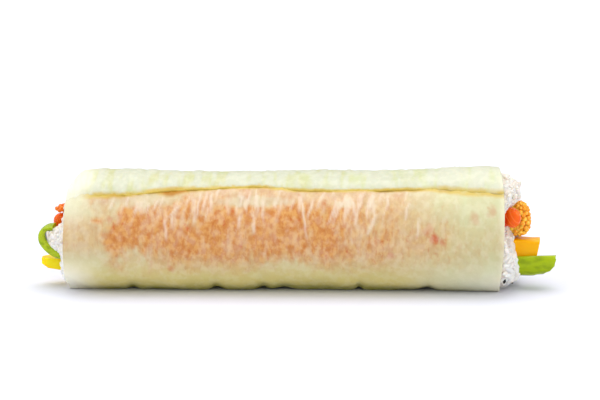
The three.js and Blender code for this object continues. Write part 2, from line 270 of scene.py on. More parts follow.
def ball(around: int, along: int) -> Surface:
    """A ball of radius 1 from rings between two poles on the X axis.

    Args:
        around: Faces round the axis.
        along: Faces from pole to pole.

    Returns:
        The ball: at each ring x = -cos(a) and the ring's radius is sin(a), for a from 0 to 180 degrees.
    """
    a = np.linspace(0, math.pi, along + 1)[:, None]
    b = np.linspace(0, 2 * math.pi, around, endpoint=False)[None]
    grid = np.stack([-np.cos(a) + 0 * b, np.sin(a) * np.cos(b), np.sin(a) * np.sin(b)], axis=-1)
    return Surface.from_grid(grid)


def spread_out(places: Array, gap: float) -> Array:
    """Which of the places to keep so that no two are closer than the gap, the earlier ones first.

    Args:
        places: (N, 3) candidate places.
        gap: The least distance between two kept ones.

    Returns:
        The indices of the kept places.
    """
    kept: list[int] = []
    for i, place in enumerate(places):
        if not kept or np.min(np.sum((places[kept] - place) ** 2, axis=1)) >= gap * gap:
            kept.append(i)
    return np.array(kept)


# ---- the roll's form ---------------------------------------------------------------------------------


@dataclass(frozen=True)
class Roll:
    """The form that the wrap and the rice share: a long ellipse in section, pressed flat underneath.

    Attributes:
        length: Of the sheet along the roll.
        width: Of the section, front to back.
        height: Of the section, from the floor to the top.
        flat_depth: How much of the ellipse's foot the flat strip cuts off.
        flat_reach: Angles from the very foot between which the flat strip turns into the ellipse.
        wall: Thickness of the sheet's solid.
        clearance: Gap under the sheet.
        inner_edge: Angle at which the sheet's hidden edge lies.
        flap_winding: Degrees of winding from there to the plain free edge.
        fixed_winding: Degrees of winding up to which the sheet's rows stay even.
        fat: How much larger the radius grows at the right end.
        drawn_in: How much smaller it gets at the left end, and how much more so at the top.
        waves: Heights of the slow waves along the roll and round it.
        degree: Length of one degree round the roll.
    """

    length: float = 190.0
    width: float = 54.0
    height: float = 48.8
    flat_depth: float = 0.9
    flat_reach: tuple[float, float] = (19.0, 26.0)
    wall: float = 1.0
    clearance: float = 0.3
    inner_edge: float = 153.0
    flap_winding: float = 459.0
    fixed_winding: float = 414.0
    fat: float = 1.2
    drawn_in: tuple[float, float] = (1.25, 0.95)
    waves: tuple[float, float] = (0.25, 0.3)
    degree: float = 0.454

    @property
    def centre_height(self) -> float:
        """Height of the section's centre over the floor."""
        return (self.height + self.flat_depth) / 2 - self.flat_depth

    def swell(self, x: Array, degrees: Array) -> Array:
        """Extra radius: a fatter right end, a drawn-in left end, and two slow waves along and round.

        Args:
            x: Place along the roll.
            degrees: Angle round it.

        Returns:
            The extra radius in millimetres.
        """
        angle = np.radians(degrees)
        thin = (self.drawn_in[0] + self.drawn_in[1] * np.sin(angle)) * ramp(-x, 81, 95)
        ends = self.fat * ramp(x, 40, 95) - thin
        along, around = self.waves
        ends = ends + along * np.sin(x / 13 + 1) * np.cos(angle - 1.2)
        return ends + around * np.sin(3 * angle + x / 31)

    def place(self, x: Array, degrees: Array, depth: Array) -> Array:
        """Points of the roll.

        The radius is the ellipse's at the angle, plus the swell, less the depth. The flat strip lies on the
        floor all along, and no other point sinks below the floor or above it by less than its depth.

        Args:
            x: Place along the roll.
            degrees: Angle round it.
            depth: How far below the surface, or above it if negative.

        Returns:
            Points with x, y and z on the last axis.
        """
        x, degrees, depth = np.broadcast_arrays(*(np.asarray(a, float) for a in (x, degrees, depth)))
        c, s = np.cos(np.radians(degrees)), np.sin(np.radians(degrees))
        half_width, half_height = self.width / 2, (self.height + self.flat_depth) / 2
        held = np.clip(x, -self.length / 2, self.length / 2)
        radius = half_width * half_height / np.hypot(half_height * c, half_width * s)
        radius = radius + self.swell(held, degrees) - depth
        ground = (self.centre_height - np.maximum(depth, 0)) / np.maximum(-s, 0.01)
        from_foot = np.degrees(np.arccos(np.clip(-s, -1, 1)))
        radius = np.minimum(ground, ground + (radius - ground) * ramp(from_foot, *self.flat_reach))
        return np.stack([x, -radius * c, self.centre_height + radius * s], axis=-1)

    def left_edge(self, degrees: Array) -> Array:
        """Where the wrap ends on the left: its upper corner is drawn back."""
        up = np.maximum(0, np.sin(np.radians(degrees)))
        return -self.length / 2 + 3.4 + 5.0 * up**8 + 0.5 * np.sin(np.radians(2 * degrees + 40))

    def right_edge(self, degrees: Array) -> Array:
        """Where the wrap ends on the right: nearly square, and drawn back at the top and at the foot.

        Args:
            degrees: Angle round the roll.

        Returns:
            The edge's x: half the length, less the two places where it is drawn back, and a slow wave.
        """
        angle = np.radians(degrees)
        top = 2.0 * np.maximum(0, np.sin(angle - 0.44)) ** 4
        foot = 2.8 * np.maximum(0, np.sin(0.35 - angle)) ** 4
        return self.length / 2 - 0.5 * np.sin(angle) - top - foot + 0.4 * np.sin(3 * angle)

    def edge(self, side: Side, degrees: Array) -> Array:
        """Where the wrap ends on either side."""
        return self.right_edge(degrees) if side is Side.RIGHT else self.left_edge(degrees)

    def free_winding(self, x: Array) -> Array:
        """Where the wrap's free edge lies: it wanders, and hangs lower at both ends.

        Args:
            x: Place along the roll.

        Returns:
            Degrees of winding: the plain edge's, plus two waves, a little noise and the fall at both ends.
        """
        wander = 2.2 * np.sin(x / 13.7) + 0.8 * np.sin(x / 6.3) + 0.8 * clouds(x / 2.8, 0 * x, 71, 2)
        left = 6 * ramp(-x, 25, 80) + 7 * ramp(-x, 70, 95)
        return self.flap_winding + wander + left + 5 * ramp(x, 45, 85)


# ---- materials ---------------------------------------------------------------------------------------


def linear(colour: str) -> tuple[float, float, float, float]:
    """Turns an sRGB colour into the linear one that a shader takes.

    Args:
        colour: Its hex digits, such as "#f4e2c0".

    Returns:
        Linear red, green, blue and alpha.
    """
    parts = [int(colour[i : i + 2], 16) / 255 for i in (1, 3, 5)]
    red, green, blue = (p / 12.92 if p <= 0.04045 else ((p + 0.055) / 1.055) ** 2.4 for p in parts)
    return red, green, blue, 1.0


def feed(tree: bpy.types.NodeTree, node: bpy.types.Node, inputs: Mapping[int | str, Any]) -> None:
    """Sets or links what goes into a node.

    Args:
        tree: The material's nodes.
        node: One of them.
        inputs: By socket name or number: a socket to link from, a hex colour, or a value.
    """
    for key, value in inputs.items():
        if isinstance(value, bpy.types.NodeSocket):
            tree.links.new(value, node.inputs[key])
        else:
            node.inputs[key].default_value = linear(value) if isinstance(value, str) else value


def add_node(
    tree: bpy.types.NodeTree, kind: str, inputs: Mapping[int | str, Any] | None = None, **settings: Any
) -> bpy.types.Node:
    """Adds one shader node, with its settings and what goes into it.

    Args:
        tree: The material's nodes.
        kind: The node's type without "ShaderNode", such as "TexNoise".
        inputs: What goes into it, by socket name or number.
        **settings: The node's own settings by name.

    Returns:
        The node.
    """
    made = tree.nodes.new("ShaderNode" + kind)
    for key, value in settings.items():
        setattr(made, key, value)
    feed(tree, made, inputs or {})
    return made


def mottle(
    tree: bpy.types.NodeTree, size: tuple[float, float, float], low: float, high: float, detail: float = 2.0
) -> bpy.types.NodeSocket:
    """Soft-edged noise on the object's own coordinates.

    Args:
        tree: The material's nodes.
        size: Width of one patch of the noise in x, y and z, in millimetres.
        low: Noise value that gives 0.
        high: Noise value that gives 1.
        detail: How many finer layers the noise has.

    Returns:
        A socket with numbers from 0 to 1.
    """
    place = add_node(tree, "TexCoord").outputs["Object"]
    scale = tuple(1 / (s * MM) for s in size)
    sized = add_node(tree, "Mapping", {"Vector": place, "Scale": scale}).outputs["Vector"]
    noise = add_node(tree, "TexNoise", {"Vector": sized, "Scale": 1.0, "Detail": detail})
    limits = {"Value": noise.outputs["Fac"], "From Min": low, "From Max": high}
    return add_node(tree, "MapRange", limits, interpolation_type="SMOOTHSTEP").outputs["Result"]


def lay(tree: bpy.types.NodeTree, base: Any, *coats: tuple[Any, ...]) -> Any:
    """Lays colours over one another.

    Args:
        tree: The material's nodes.
        base: The lowest colour, as hex digits or a socket.
        *coats: The ones over it, from the lowest up. Each is a colour and then the factors whose product
            says how much of it covers what lies below: names of numbers that the mesh carries, sockets,
            or, after the first, plain numbers.

    Returns:
        The colour on top.
    """
    colour = base
    for above, *factors in coats:
        share: Any = None
        for factor in factors:
            if isinstance(factor, str):
                factor = add_node(tree, "Attribute", attribute_name=factor).outputs["Fac"]
            if share is not None:
                factor = add_node(tree, "Math", {0: share, 1: factor}, operation="MULTIPLY").outputs[0]
            share = factor
        mixed = {FACTOR: share, COLOUR_A: colour, COLOUR_B: above}
        colour = add_node(tree, "Mix", mixed, data_type="RGBA").outputs[MIXED]
    return colour


@dataclass(frozen=True)
class Finish:
    """What every finish here has: a glossy or moist surface over a body that lets some light in.

    Attributes:
        title: The material's name.
        body: Its colour where nothing else is said.
        roughness: Of the surface.
        ior: Index of refraction.
        shine: Specular level: 0.5 is a clean smooth surface, less is a moist or dusty one.
        glow: How much of the light goes through the body before it comes out, 0 to 1.
        glow_depth: How far that light spreads in it, in millimetres.
        glow_reach: How far red, green and blue go, against that depth: red goes deepest in food.
        relief_depth: Height of its fine relief in millimetres.
        relief_share: How strongly that relief shows, 0 to 1.
    """

    title: str = "plain"
    body: str = "#ffffff"
    roughness: float = 0.5
    ior: float = 1.45
    shine: float = 0.35
    glow: float = 0.0
    glow_depth: float = 1.0
    glow_reach: tuple[float, float, float] = (1.0, 0.6, 0.35)
    relief_depth: float = 0.0
    relief_share: float = 0.0

    def colour(self, tree: bpy.types.NodeTree) -> str | bpy.types.NodeSocket:
        """The colour, as hex digits or a socket: the same everywhere, unless a finish says more."""
        return self.body

    def relief(self, tree: bpy.types.NodeTree) -> bpy.types.NodeSocket | None:
        """The socket with the height of the fine relief, if the finish has one."""
        return None

    def build(self) -> bpy.types.Material:
        """Makes the material.

        Returns:
            The material with its shader.
        """
        material = bpy.data.materials.new(self.title)
        material.use_nodes = True
        tree = material.node_tree
        inputs = {
            "Base Color": self.colour(tree),
            "Roughness": self.roughness,
            "IOR": self.ior,
            "Specular IOR Level": self.shine,
            "Subsurface Weight": self.glow,
            "Subsurface Radius": self.glow_reach,
            "Subsurface Scale": self.glow_depth * MM,
        }
        height = self.relief(tree)
        if height is not None:
            bump = {"Height": height, "Distance": self.relief_depth * MM, "Strength": self.relief_share}
            inputs["Normal"] = add_node(tree, "Bump", bump).outputs["Normal"]
        feed(tree, tree.nodes["Principled BSDF"], inputs)
        return material


@dataclass(frozen=True)
class RicePaper(Finish):
    """Softened rice paper, steamed and wound damp.

    It is thin and lets light in, so the orange fillings show through it as soft tan blotches where it is
    a single layer, and it looks milky and pale green where it lies double. Its damp creases catch the
    light, shown as pale lines of painted highlight, and its cut edge gathers colour like glass and looks
    golden, with painted shade and a golden stain under it. Painted shade darkens its dips and its foot next
    to the floor, and painted light makes its ends paler.
    """

    title: str = "rice_paper"
    roughness: float = 0.42
    ior: float = 1.42
    glow: float = 0.1
    glow_depth: float = 1.5
    relief_depth: float = 0.12
    relief_share: float = 0.5
    single: str = "#cbc499"
    double: str = "#c6c7af"
    # painted shade in the dips, and a greener tint at the right end
    dip_shade_and_tint: str = "#c0c695"
    foot: str = "#dccd80"
    # painted shade next to the floor
    contact_shade: str = "#aca648"
    blush: str = "#c9ad92"
    tan: str = "#d59b56"
    deep: str = "#be7030"
    fleck: str = "#c04a20"
    # painted highlight on the creases, folds and the flap's strokes
    crease: str = "#eedccb"
    # a milky veil over all, and painted light at both ends
    milk_and_light: str = "#f4efd8"
    rim: str = "#ccb050"
    # painted shade under the free edge, with a golden stain
    edge_shade_and_stain: str = "#b27700"

    def colour(self, tree: bpy.types.NodeTree) -> bpy.types.NodeSocket:
        """Layers the colours from the body outwards.

        The filling's tan is broken up by patches of 2 to 3 mm, about a grain of rice wide, by upright
        dashes and by a few flecks, and a thin milky veil lies over all.

        Args:
            tree: The material's nodes.

        Returns:
            The socket with the colour.
        """
        grain = mottle(tree, (2.3, 2.9, 2.9), 0.36, 0.64, 3)
        dashes = mottle(tree, (1.4, 3.4, 3.4), 0.53, 0.67)
        flecks = mottle(tree, (1.8, 2.4, 2.4), 0.66, 0.74, 1)
        veil = mottle(tree, (3.2, 3.6, 3.6), 0.4, 0.66)
        filling = lay(tree, self.tan, (self.deep, grain, 0.72))
        # the golden edge, with painted shade and a stain under it
        edge = lay(tree, self.rim, (self.edge_shade_and_stain, "edge_shade_and_stain"))
        return lay(
            tree,
            self.single,
            (self.double, "lap"),
            (self.dip_shade_and_tint, "dip_shade_and_tint"),
            (self.foot, "foot"),
            (self.contact_shade, "contact_shade"),
            (self.blush, "blush"),
            (filling, "filling"),
            (self.deep, "filling", dashes, 0.5),
            (self.fleck, "filling", flecks, 0.4),
            (self.fleck, "glimpse"),
            # painted highlight on the ridges
            (self.crease, "crease"),
            # a real milky veil, then painted light at the ends
            (self.milk_and_light, veil, 0.14),
            (self.milk_and_light, "milk_and_light"),
            (edge, "rim"),
        )

    def relief(self, tree: bpy.types.NodeTree) -> bpy.types.NodeSocket:
        """Low soft ripples, a little longer round the roll than along it."""
        return mottle(tree, (1.8, 3.4, 3.4), 0.3, 0.7)


@dataclass(frozen=True)
class CookedRice(Finish):
    """Steamed short-grain rice with rice vinegar: white, slightly see-through and moist."""

    title: str = "cooked_rice"
    roughness: float = 0.4
    ior: float = 1.4
    glow: float = 0.25
    glow_depth: float = 1.5
    bright: str = "#f4f1ea"
    dull: str = "#dfd0be"
    chalk: str = "#ffffff"

    def colour(self, tree: bpy.types.NodeTree) -> bpy.types.NodeSocket:
        """Each grain has its own whiteness, and chalky spots about 1 mm wide inside it.

        Args:
            tree: The material's nodes.

        Returns:
            The socket with the colour.
        """
        spots = mottle(tree, (1.2, 1.2, 1.2), 0.4, 0.7)
        return lay(tree, self.dull, (self.bright, "whiteness"), (self.chalk, spots, 0.25))


@dataclass(frozen=True)
class RawSalmon(Finish):
    """Raw salmon: smooth wet red-orange flesh with thin pale lines of fat between its flakes."""

    title: str = "raw_salmon"
    roughness: float = 0.18
    shine: float = 0.3
    ior: float = 1.4
    glow: float = 0.3
    glow_depth: float = 1.5
    flesh: str = "#f46400"
    # painted shade in the grooves
    deep: str = "#d02c00"
    fat: str = "#ff9648"

    def colour(self, tree: bpy.types.NodeTree) -> bpy.types.NodeSocket:
        """Painted shade: deeper red in the mesh's grooves; and fat along the flakes' borders.

        Args:
            tree: The material's nodes.

        Returns:
            The socket with the colour.
        """
        place = add_node(tree, "TexCoord").outputs["Object"]
        slanted = {"Vector": place, "Rotation": (0, 0.6, 0.5), "Scale": (1 / MM,) * 3}
        bands = {
            "Vector": add_node(tree, "Mapping", slanted).outputs["Vector"],
            "Scale": 0.16,  # flakes about 2 mm thick
            "Distortion": 2.0,
            "Detail": 1.0,
            "Detail Scale": 0.6,
        }
        flakes = add_node(tree, "TexWave", bands).outputs["Fac"]
        limits = {"Value": flakes, "From Min": 0.8, "From Max": 1.0, "To Max": 0.35}
        lines = add_node(tree, "MapRange", limits).outputs["Result"]
        return lay(tree, self.flesh, (self.deep, "dip_shade_and_tint"), (self.fat, lines))


@dataclass(frozen=True)
class FishRoe(Finish):
    """Flying fish roe: golden orange beads with a shiny skin and a clear inside that glows at the edge.

    At the left end of the roll they are redder.
    """

    title: str = "fish_roe"
    roughness: float = 0.14
    ior: float = 1.38
    glow: float = 0.45
    glow_depth: float = 1.2
    pale: str = "#ffcf4e"
    deep: str = "#fb8a08"
    ripe: str = "#e8480c"

    def colour(self, tree: bpy.types.NodeTree) -> bpy.types.NodeSocket:
        """Each bead has its own tone between the pale and the deep one, mixed with soft patches.

        Args:
            tree: The material's nodes.

        Returns:
            The socket with the colour.
        """
        own = add_node(tree, "Attribute", attribute_name="tone").outputs["Fac"]
        patches = mottle(tree, (1.1, 1.1, 1.1), 0.35, 0.7, 1)
        both = add_node(tree, "Math", {0: own, 1: patches}, operation="ADD").outputs[0]
        return lay(tree, self.pale, (self.deep, both, 0.5), (self.ripe, "ripe"))


@dataclass(frozen=True)
class Pepper(Finish):
    """Sweet pepper, cut into strips: glossy coloured skin on one face and moist paler flesh inside."""

    title: str = "pepper"
    roughness: float = 0.22
    shine: float = 0.2
    ior: float = 1.45
    glow: float = 0.2
    glow_depth: float = 1.5
    relief_depth: float = 0.08
    relief_share: float = 0.35
    skin: str = "#ffb400"
    flesh: str = "#ffc93a"
    shade: str = "#f59a00"

    def colour(self, tree: bpy.types.NodeTree) -> bpy.types.NodeSocket:
        """Skin or flesh by the mesh's own number, with darker streaks along the strip."""
        streaks = mottle(tree, (5, 2.2, 2.2), 0.42, 0.7)
        return lay(tree, self.flesh, (self.skin, "skin"), (self.shade, streaks, 0.7))

    def relief(self, tree: bpy.types.NodeTree) -> bpy.types.NodeSocket:
        """Fine cells under the skin, drawn 0.8 mm wide so that they show."""
        return mottle(tree, (0.8, 0.8, 0.8), 0.3, 0.7, 1)


@dataclass(frozen=True)
class SesameHull(Finish):
    """Black sesame: a dry, faintly ribbed dark hull with a soft shine."""

    title: str = "black_sesame"
    roughness: float = 0.45
    dark: str = "#14110d"
    light: str = "#3a342b"

    def colour(self, tree: bpy.types.NodeTree) -> bpy.types.NodeSocket:
        """Dark brown specks over near-black."""
        return lay(tree, self.dark, (self.light, mottle(tree, (0.4, 0.4, 0.4), 0.45, 0.7)))


# ---- the wrap ----------------------------------------------------------------------------------------


@dataclass(frozen=True)
class Wrinkles:
    """A group of random fine ridges in the sheet.

    Attributes:
        count: How many.
        seed: Of their random places.
        middle: Where most of them lie, in millimetres round the roll from its front.
        spread: How far they stray from there.
        wide: Their width against a fine wrinkle's.
        crowds: Places along the roll where they crowd together.
        crowd_spread: How far they stray from those.
        crowded: Share of them that lie in the crowds.
        reach: The stretch of the roll that the others lie in.
    """

    count: int
    seed: int
    middle: float
    spread: float
    wide: float = 1.0
    crowds: tuple[float, ...] = (-46.0, -10.0, 30.0)
    crowd_spread: float = 9.0
    crowded: float = 0.6
    reach: tuple[float, float] = (-68.0, 58.0)

    def table(self) -> Array:
        """Draws the ridges.

        Returns:
            A row for each: its place along and round the roll, half width, half length, lean and bend, all
            in millimetres, and its height.
        """
        rng, count = np.random.default_rng(self.seed), self.count
        crowds = rng.choice(self.crowds, count) + rng.normal(0, self.crowd_spread, count)
        columns = [
            np.where(rng.random(count) < self.crowded, crowds, rng.uniform(*self.reach, count)),
            self.middle + rng.normal(0, self.spread, count),
            self.wide * rng.uniform(0.35, 0.85, count),
            rng.uniform(1.6, 5.5, count),
            rng.normal(0.14, 0.12, count),
            rng.normal(0, 0.012, count),
            rng.uniform(0.35, 1.0, count),
        ]
        return np.stack(columns, axis=1)


@dataclass(frozen=True)
class Sheet:
    """Where the points of the sheet's grid lie, each (rows, columns).

    Attributes:
        x: Place along the roll.
        degrees: Angle round it.
        winding: Degrees of winding from the hidden edge.
        free: Degrees of winding at the free edge, at each x.
        degree: Length of one degree round the roll.
    """

    x: Array
    degrees: Array
    winding: Array
    free: Array
    degree: float

    @property
    def arc(self) -> Array:
        """Millimetres round the roll from its front."""
        return self.degrees * self.degree

    @property
    def mirrored(self) -> Array:
        """The angle, with the back's turned to the front's."""
        return np.where(self.degrees < -90, -180 - self.degrees, self.degrees)

    @property
    def to_edge(self) -> Array:
        """Millimetres from the free edge."""
        return (self.free - self.winding) * self.degree

    @property
    def below_edge(self) -> Array:
        """On the layer under the flap, millimetres down from the line that the free edge lies on."""
        return (self.winding - self.free + 360) * self.degree


@dataclass(frozen=True)
class Wrap:
    """The sheet that is wound once round the roll and laps over itself along the top.

    Attributes:
        roll: The form that it is wound on.
        covered_rows: Rows of its grid under the flap.
        shown_rows: Rows of its grid outside.
        columns: Columns of its grid along the roll.
        end_columns: Places of the columns at each end that round it, as shares of the length.
        end_shares: Share of the thickness at each end's first columns.
        edge_rows: Rows in each of the two rounded long edges.
        thickness: Of the sheet.
        settle: How far the free edge sinks on to the layer under it.
        lumps: Heights of the fillings' slow lumps and of the rice's smaller ones.
        crease: Height of a crease.
        fold: Height of a fold, over its crease.
        furrow: Depth of a furrow.
        pucker: Height of the flap's puckers.
        stroke: Height of the flap's strokes.
        bead: Height of the rounded bead along the free edge.
        tuck: Depth of a tuck at the foot.
        fine: Creases high on the front.
        faint: Weaker ones over all of it.
        grooves: Furrows between them.
        behind: Creases at the back.
        strokes: Ridges of the flap.
        tucks: Place along and half width of each tuck at the foot.
        folds: Folds high on the front: place along, angle, half width, half length and lean.
        dents: Dents between them, in the same order.
        glimpses: Spots where a filling lies right under the sheet: place along, angle, radius, strength.
        clear: Where the sheet stands off the fillings: place along, angle, half width and half angle.
        golden: Middle and half width of the stretch where the free edge is widest and most golden.
        left_band: The same for a fainter stretch near the left end.
    """

    roll: Roll
    covered_rows: int = 22
    shown_rows: int = 178
    columns: int = 320
    end_columns: tuple[float, ...] = (0.0006, 0.0014)
    end_shares: tuple[float, ...] = (0.0, 0.7, 0.92)
    edge_rows: int = 4
    thickness: float = 0.85
    settle: float = 0.95
    lumps: tuple[float, float] = (0.34, 0.14)
    crease: float = 0.36
    fold: float = 0.3
    furrow: float = 0.3
    pucker: float = 0.44
    stroke: float = 0.58
    bead: float = 0.3
    tuck: float = 1.2
    fine: Wrinkles = Wrinkles(84, 61, 16, 4, 0.95)
    faint: Wrinkles = Wrinkles(90, 62, 4, 7)
    grooves: Wrinkles = Wrinkles(130, 63, 6, 8)
    behind: Wrinkles = Wrinkles(120, 64, -125, 16)
    strokes: Wrinkles = Wrinkles(130, 66, 30, 5, 1.2)
    tucks: tuple[tuple[float, float], ...] = (
        (-64.0, 2.6),
        (-28.0, 2.2),
        (-8.0, 2.4),
        (1.0, 4.0),
        (33.0, 1.6),
        (62.0, 3.0),
    )
    folds: tuple[tuple[float, ...], ...] = (
        (-70.5, 35.0, 0.55, 2.0, 0.3),
        (-64.0, 38.0, 0.5, 2.4, 0.1),
        (-60.0, 32.0, 0.6, 2.6, 0.4),
        (-55.1, 31.0, 0.5, 2.4, 0.2),
        (-51.5, 35.0, 0.6, 2.8, 0.4),
        (-47.3, 13.0, 0.7, 5.0, -0.1),
        (-43.5, 29.0, 0.8, 3.4, 0.8),
        (-33.6, 34.0, 0.55, 6.0, 0.1),
        (-28.4, 38.0, 0.8, 4.5, 0.0),
        (-15.5, 39.0, 0.5, 2.8, 0.2),
        (11.1, 25.0, 0.5, 9.0, -0.15),
        (13.9, 31.0, 0.55, 4.0, 0.3),
        (23.3, 27.0, 0.5, 4.6, 0.4),
        (32.0, 33.0, 0.8, 4.0, -0.2),
        (39.7, 16.0, 0.8, 4.0, 0.45),
        (46.2, 38.0, 0.5, 3.2, 0.0),
        (54.4, 29.0, 0.55, 3.8, 0.2),
        (59.1, 13.0, 0.5, 3.8, 0.1),
    )
    dents: tuple[tuple[float, ...], ...] = (
        (-50.4, 22.0, 0.6, 3.0, 0.1),
        (16.0, 4.0, 0.7, 5.5, 0.1),
        (37.6, -8.0, 0.7, 3.8, 0.1),
        (-40.0, 10.0, 0.6, 3.4, 0.1),
        (1.0, 12.0, 0.6, 4.0, 0.1),
    )
    glimpses: tuple[tuple[float, float, float, float], ...] = (
        (66.0, 4.0, 2.4, 0.75),
        (63.5, 11.0, 2.6, 0.4),
        (69.0, 1.0, 1.6, 0.5),
        (82.8, 21.0, 2.8, 0.3),
        (90.0, 28.0, 2.6, 0.34),
        (47.6, -12.0, 1.7, 0.4),
        (-71.0, 21.0, 1.5, 0.4),
        (-38.0, 12.0, 1.2, 0.6),
        (-45.5, -27.0, 1.9, 0.4),
        (12.0, 12.0, 1.3, 0.5),
    )
    clear: tuple[tuple[float, float, float, float], ...] = (
        (-62.0, -22.0, 6.5, 20.0),
        (4.0, -34.0, 15.0, 15.0),
        (-7.5, 39.0, 17.0, 6.0),
        (-58.0, 42.0, 20.0, 10.0),
        (-76.0, 30.0, 9.0, 15.0),
        (-35.0, -42.0, 12.0, 10.0),
        (28.0, 36.0, 7.0, 5.0),
    )
    golden: tuple[float, float] = (-45.0, 6.0)
    left_band: tuple[float, float] = (-73.0, 9.0)

    def sheet(self) -> Sheet:
        """Lays out the grid. Past the fixed winding its rows stretch evenly to reach the free edge.

        Returns:
            The sheet, with its winding along the rows and its x along the columns.
        """
        covered = np.linspace(0, 90, self.covered_rows, endpoint=False)
        shown = np.linspace(90, self.roll.flap_winding, self.shown_rows)
        plain = np.concatenate([covered, shown])[:, None]
        close = np.array(self.end_columns)
        even = np.linspace(0, 1, self.columns - 2 * len(close))
        share = np.sort(np.concatenate([close, even, 1 - close]))[None]
        middle = -self.roll.length / 2 + self.roll.length * share
        fixed, full = self.roll.fixed_winding, self.roll.flap_winding
        stretch = (self.roll.free_winding(middle) - fixed) / (full - fixed)
        winding = np.where(plain <= fixed, plain, fixed + (plain - fixed) * stretch)
        degrees = self.roll.inner_edge - winding
        left, right = self.roll.left_edge(degrees), self.roll.right_edge(degrees)
        x = left + (right - left) * share
        return Sheet(x, degrees, winding, self.roll.free_winding(x), self.roll.degree)

    def ridges(self, sheet: Sheet, table: Array) -> Array:
        """Short thin ridges that run round the roll.

        Each is a bell curve along the roll that leans and bends a little on its way round and fades at both
        ends.

        Args:
            sheet: The grid.
            table: A row for each ridge: its place along and round the roll, half width, half length, lean
                and bend, all in millimetres, and its height.

        Returns:
            The sum of the ridges, at most 1.
        """
        total, arc = np.zeros_like(sheet.x), sheet.arc
        for along, around, wide, long, lean, bend, high in table:
            near = np.abs(arc - around) < 2 * long
            up = np.where(near, arc - around, 0)
            across = sheet.x - along - lean * up - bend * up**2 - 0.15 * np.sin(up + along)
            total += np.where(near, high * np.exp(-((across / wide) ** 2) - (up / long) ** 4), 0)
        return np.minimum(total, 1)

    def placed(self, rows: tuple[tuple[float, ...], ...]) -> Array:
        """Folds or dents as a table of ridges: straight ones of full height."""
        degree = self.roll.degree
        return np.array([(x, a * degree, wide, long, lean, 0, 1) for x, a, wide, long, lean in rows])

    def relief(self, sheet: Sheet) -> tuple[Array, Array, Array]:
        """How far the sheet stands out of its plain form, the ridges that get a painted highlight, and its
        dips.

        The height is slow lumps of the fillings, smaller lumps of the rice, sharp wrinkles high on the
        front where the sheet was pulled tight, furrows between them, a rounded bead along the free edge,
        and short deep tucks at the foot of the front.

        Args:
            sheet: The grid.

        Returns:
            Height in millimetres, and the ridges that get a painted highlight and the dips that get painted
            shade, from 0 to 1.
        """
        x, arc, degrees = sheet.x, sheet.arc, sheet.degrees
        slow, small = self.lumps
        height = slow * lattice_noise(x / 9, arc / 8, 1) + small * clouds(x / 3.4, arc / 3.8, 2, 2)
        single = 1 - ramp(sheet.winding, 340, 360)
        flap = ramp(sheet.winding, 378, 396)
        folds = self.ridges(sheet, self.placed(self.folds)) * single
        creases = 0.8 * self.ridges(sheet, self.fine.table()) + 0.3 * self.ridges(sheet, self.faint.table())
        creases = np.maximum(creases * single, folds)
        grooves = 0.7 * self.ridges(sheet, self.grooves.table())
        furrows = np.maximum(grooves, self.ridges(sheet, self.placed(self.dents))) * single
        behind = 0.5 * self.ridges(sheet, self.behind.table()) * single
        puckers = clouds(x / 2.2, arc / 11, 67, 2) * flap
        strokes = self.ridges(sheet, self.strokes.table()) * flap
        height = height + self.crease * creases + self.fold * (folds + behind) - self.furrow * furrows
        height = height + self.pucker * puckers + self.stroke * strokes
        height = height + self.bead * bell(sheet.to_edge, 1.3, 0.8) * (1 - ramp(-x, 76, 86))
        for place, wide in self.tucks:
            near = bell(x - 0.04 * (degrees + 70), place, wide)
            height = height - self.tuck * near * ramp(-degrees, 34, 68) * (1 - ramp(-degrees, 95, 120))
        # ridges that get a painted highlight
        ridge_highlights = np.clip(creases + behind + 0.8 * strokes, 0, 1)
        # the flap's dips and, elsewhere, the furrows: both get painted shade
        hollows = np.where(flap > 0, flap * ramp(-puckers - 0.8 * strokes, -0.2, 0.7), furrows)
        return height * ramp(sheet.winding, 80, 100), ridge_highlights, hollows

    def show_through(self, sheet: Sheet, double: Array) -> tuple[Array, Array]:
        """How much of the fillings shows through the sheet.

        They show on the front in soft patches, fade towards both ends and the foot, and show little where
        the sheet stands off them. Above them the sheet is pinkish white.

        Args:
            sheet: The grid.
            double: Where the sheet lies double.

        Returns:
            How strongly the fillings and the pinkish white show, before creases, from 0 to 1.
        """
        x, arc, turned = sheet.x, sheet.arc, sheet.mirrored
        front = np.where(sheet.degrees < -90, 0.6, 1.0)  # less shows at the back
        frayed = x + 6 * clouds(arc / 6, x / 9, 22)
        along = ramp(frayed + 0.1 * turned, -80, -70) * (1 - 0.5 * ramp(x, 10, 60) - 0.3 * ramp(x, 60, 90))
        right = ramp(x, 50, 74)
        around = ramp(turned, -46, 3) * (1 - 0.6 * ramp(turned, 24, 50))
        around = around * (1 - 0.7 * right * ramp(turned, 0, 26))
        leaning = x - 0.12 * arc
        patches = 0.4 * clouds(leaning / 7, arc / 8, 21) + 0.24 * clouds(leaning / 1.7, arc / 4, 25, 2)
        shown = along * around * front
        for place, angle, wide, high in self.clear:
            off = np.hypot((x - place) / wide, (sheet.degrees - angle) / high) + 0.9 * patches
            shown = shown * (0.3 + 0.7 * ramp(off, 0.55, 1.15))
        filling = np.clip(1.06 * shown + 0.75 * np.sqrt(shown) * patches, 0, 1)
        haze = 0.46 * ramp(-x, 62, 80) * ramp(turned, -22, 0) * (1 - ramp(turned, 14, 32))
        pale = ramp(turned, 24, 44) * along * (0.6 + 0.5 * clouds(leaning / 4, arc / 7, 31, 2))
        pale = pale * (1 - right) * (1 - 0.5 * bell(x, -44, 9))
        return np.maximum(filling, haze * front), np.clip(pale * (1 - double), 0, 1)

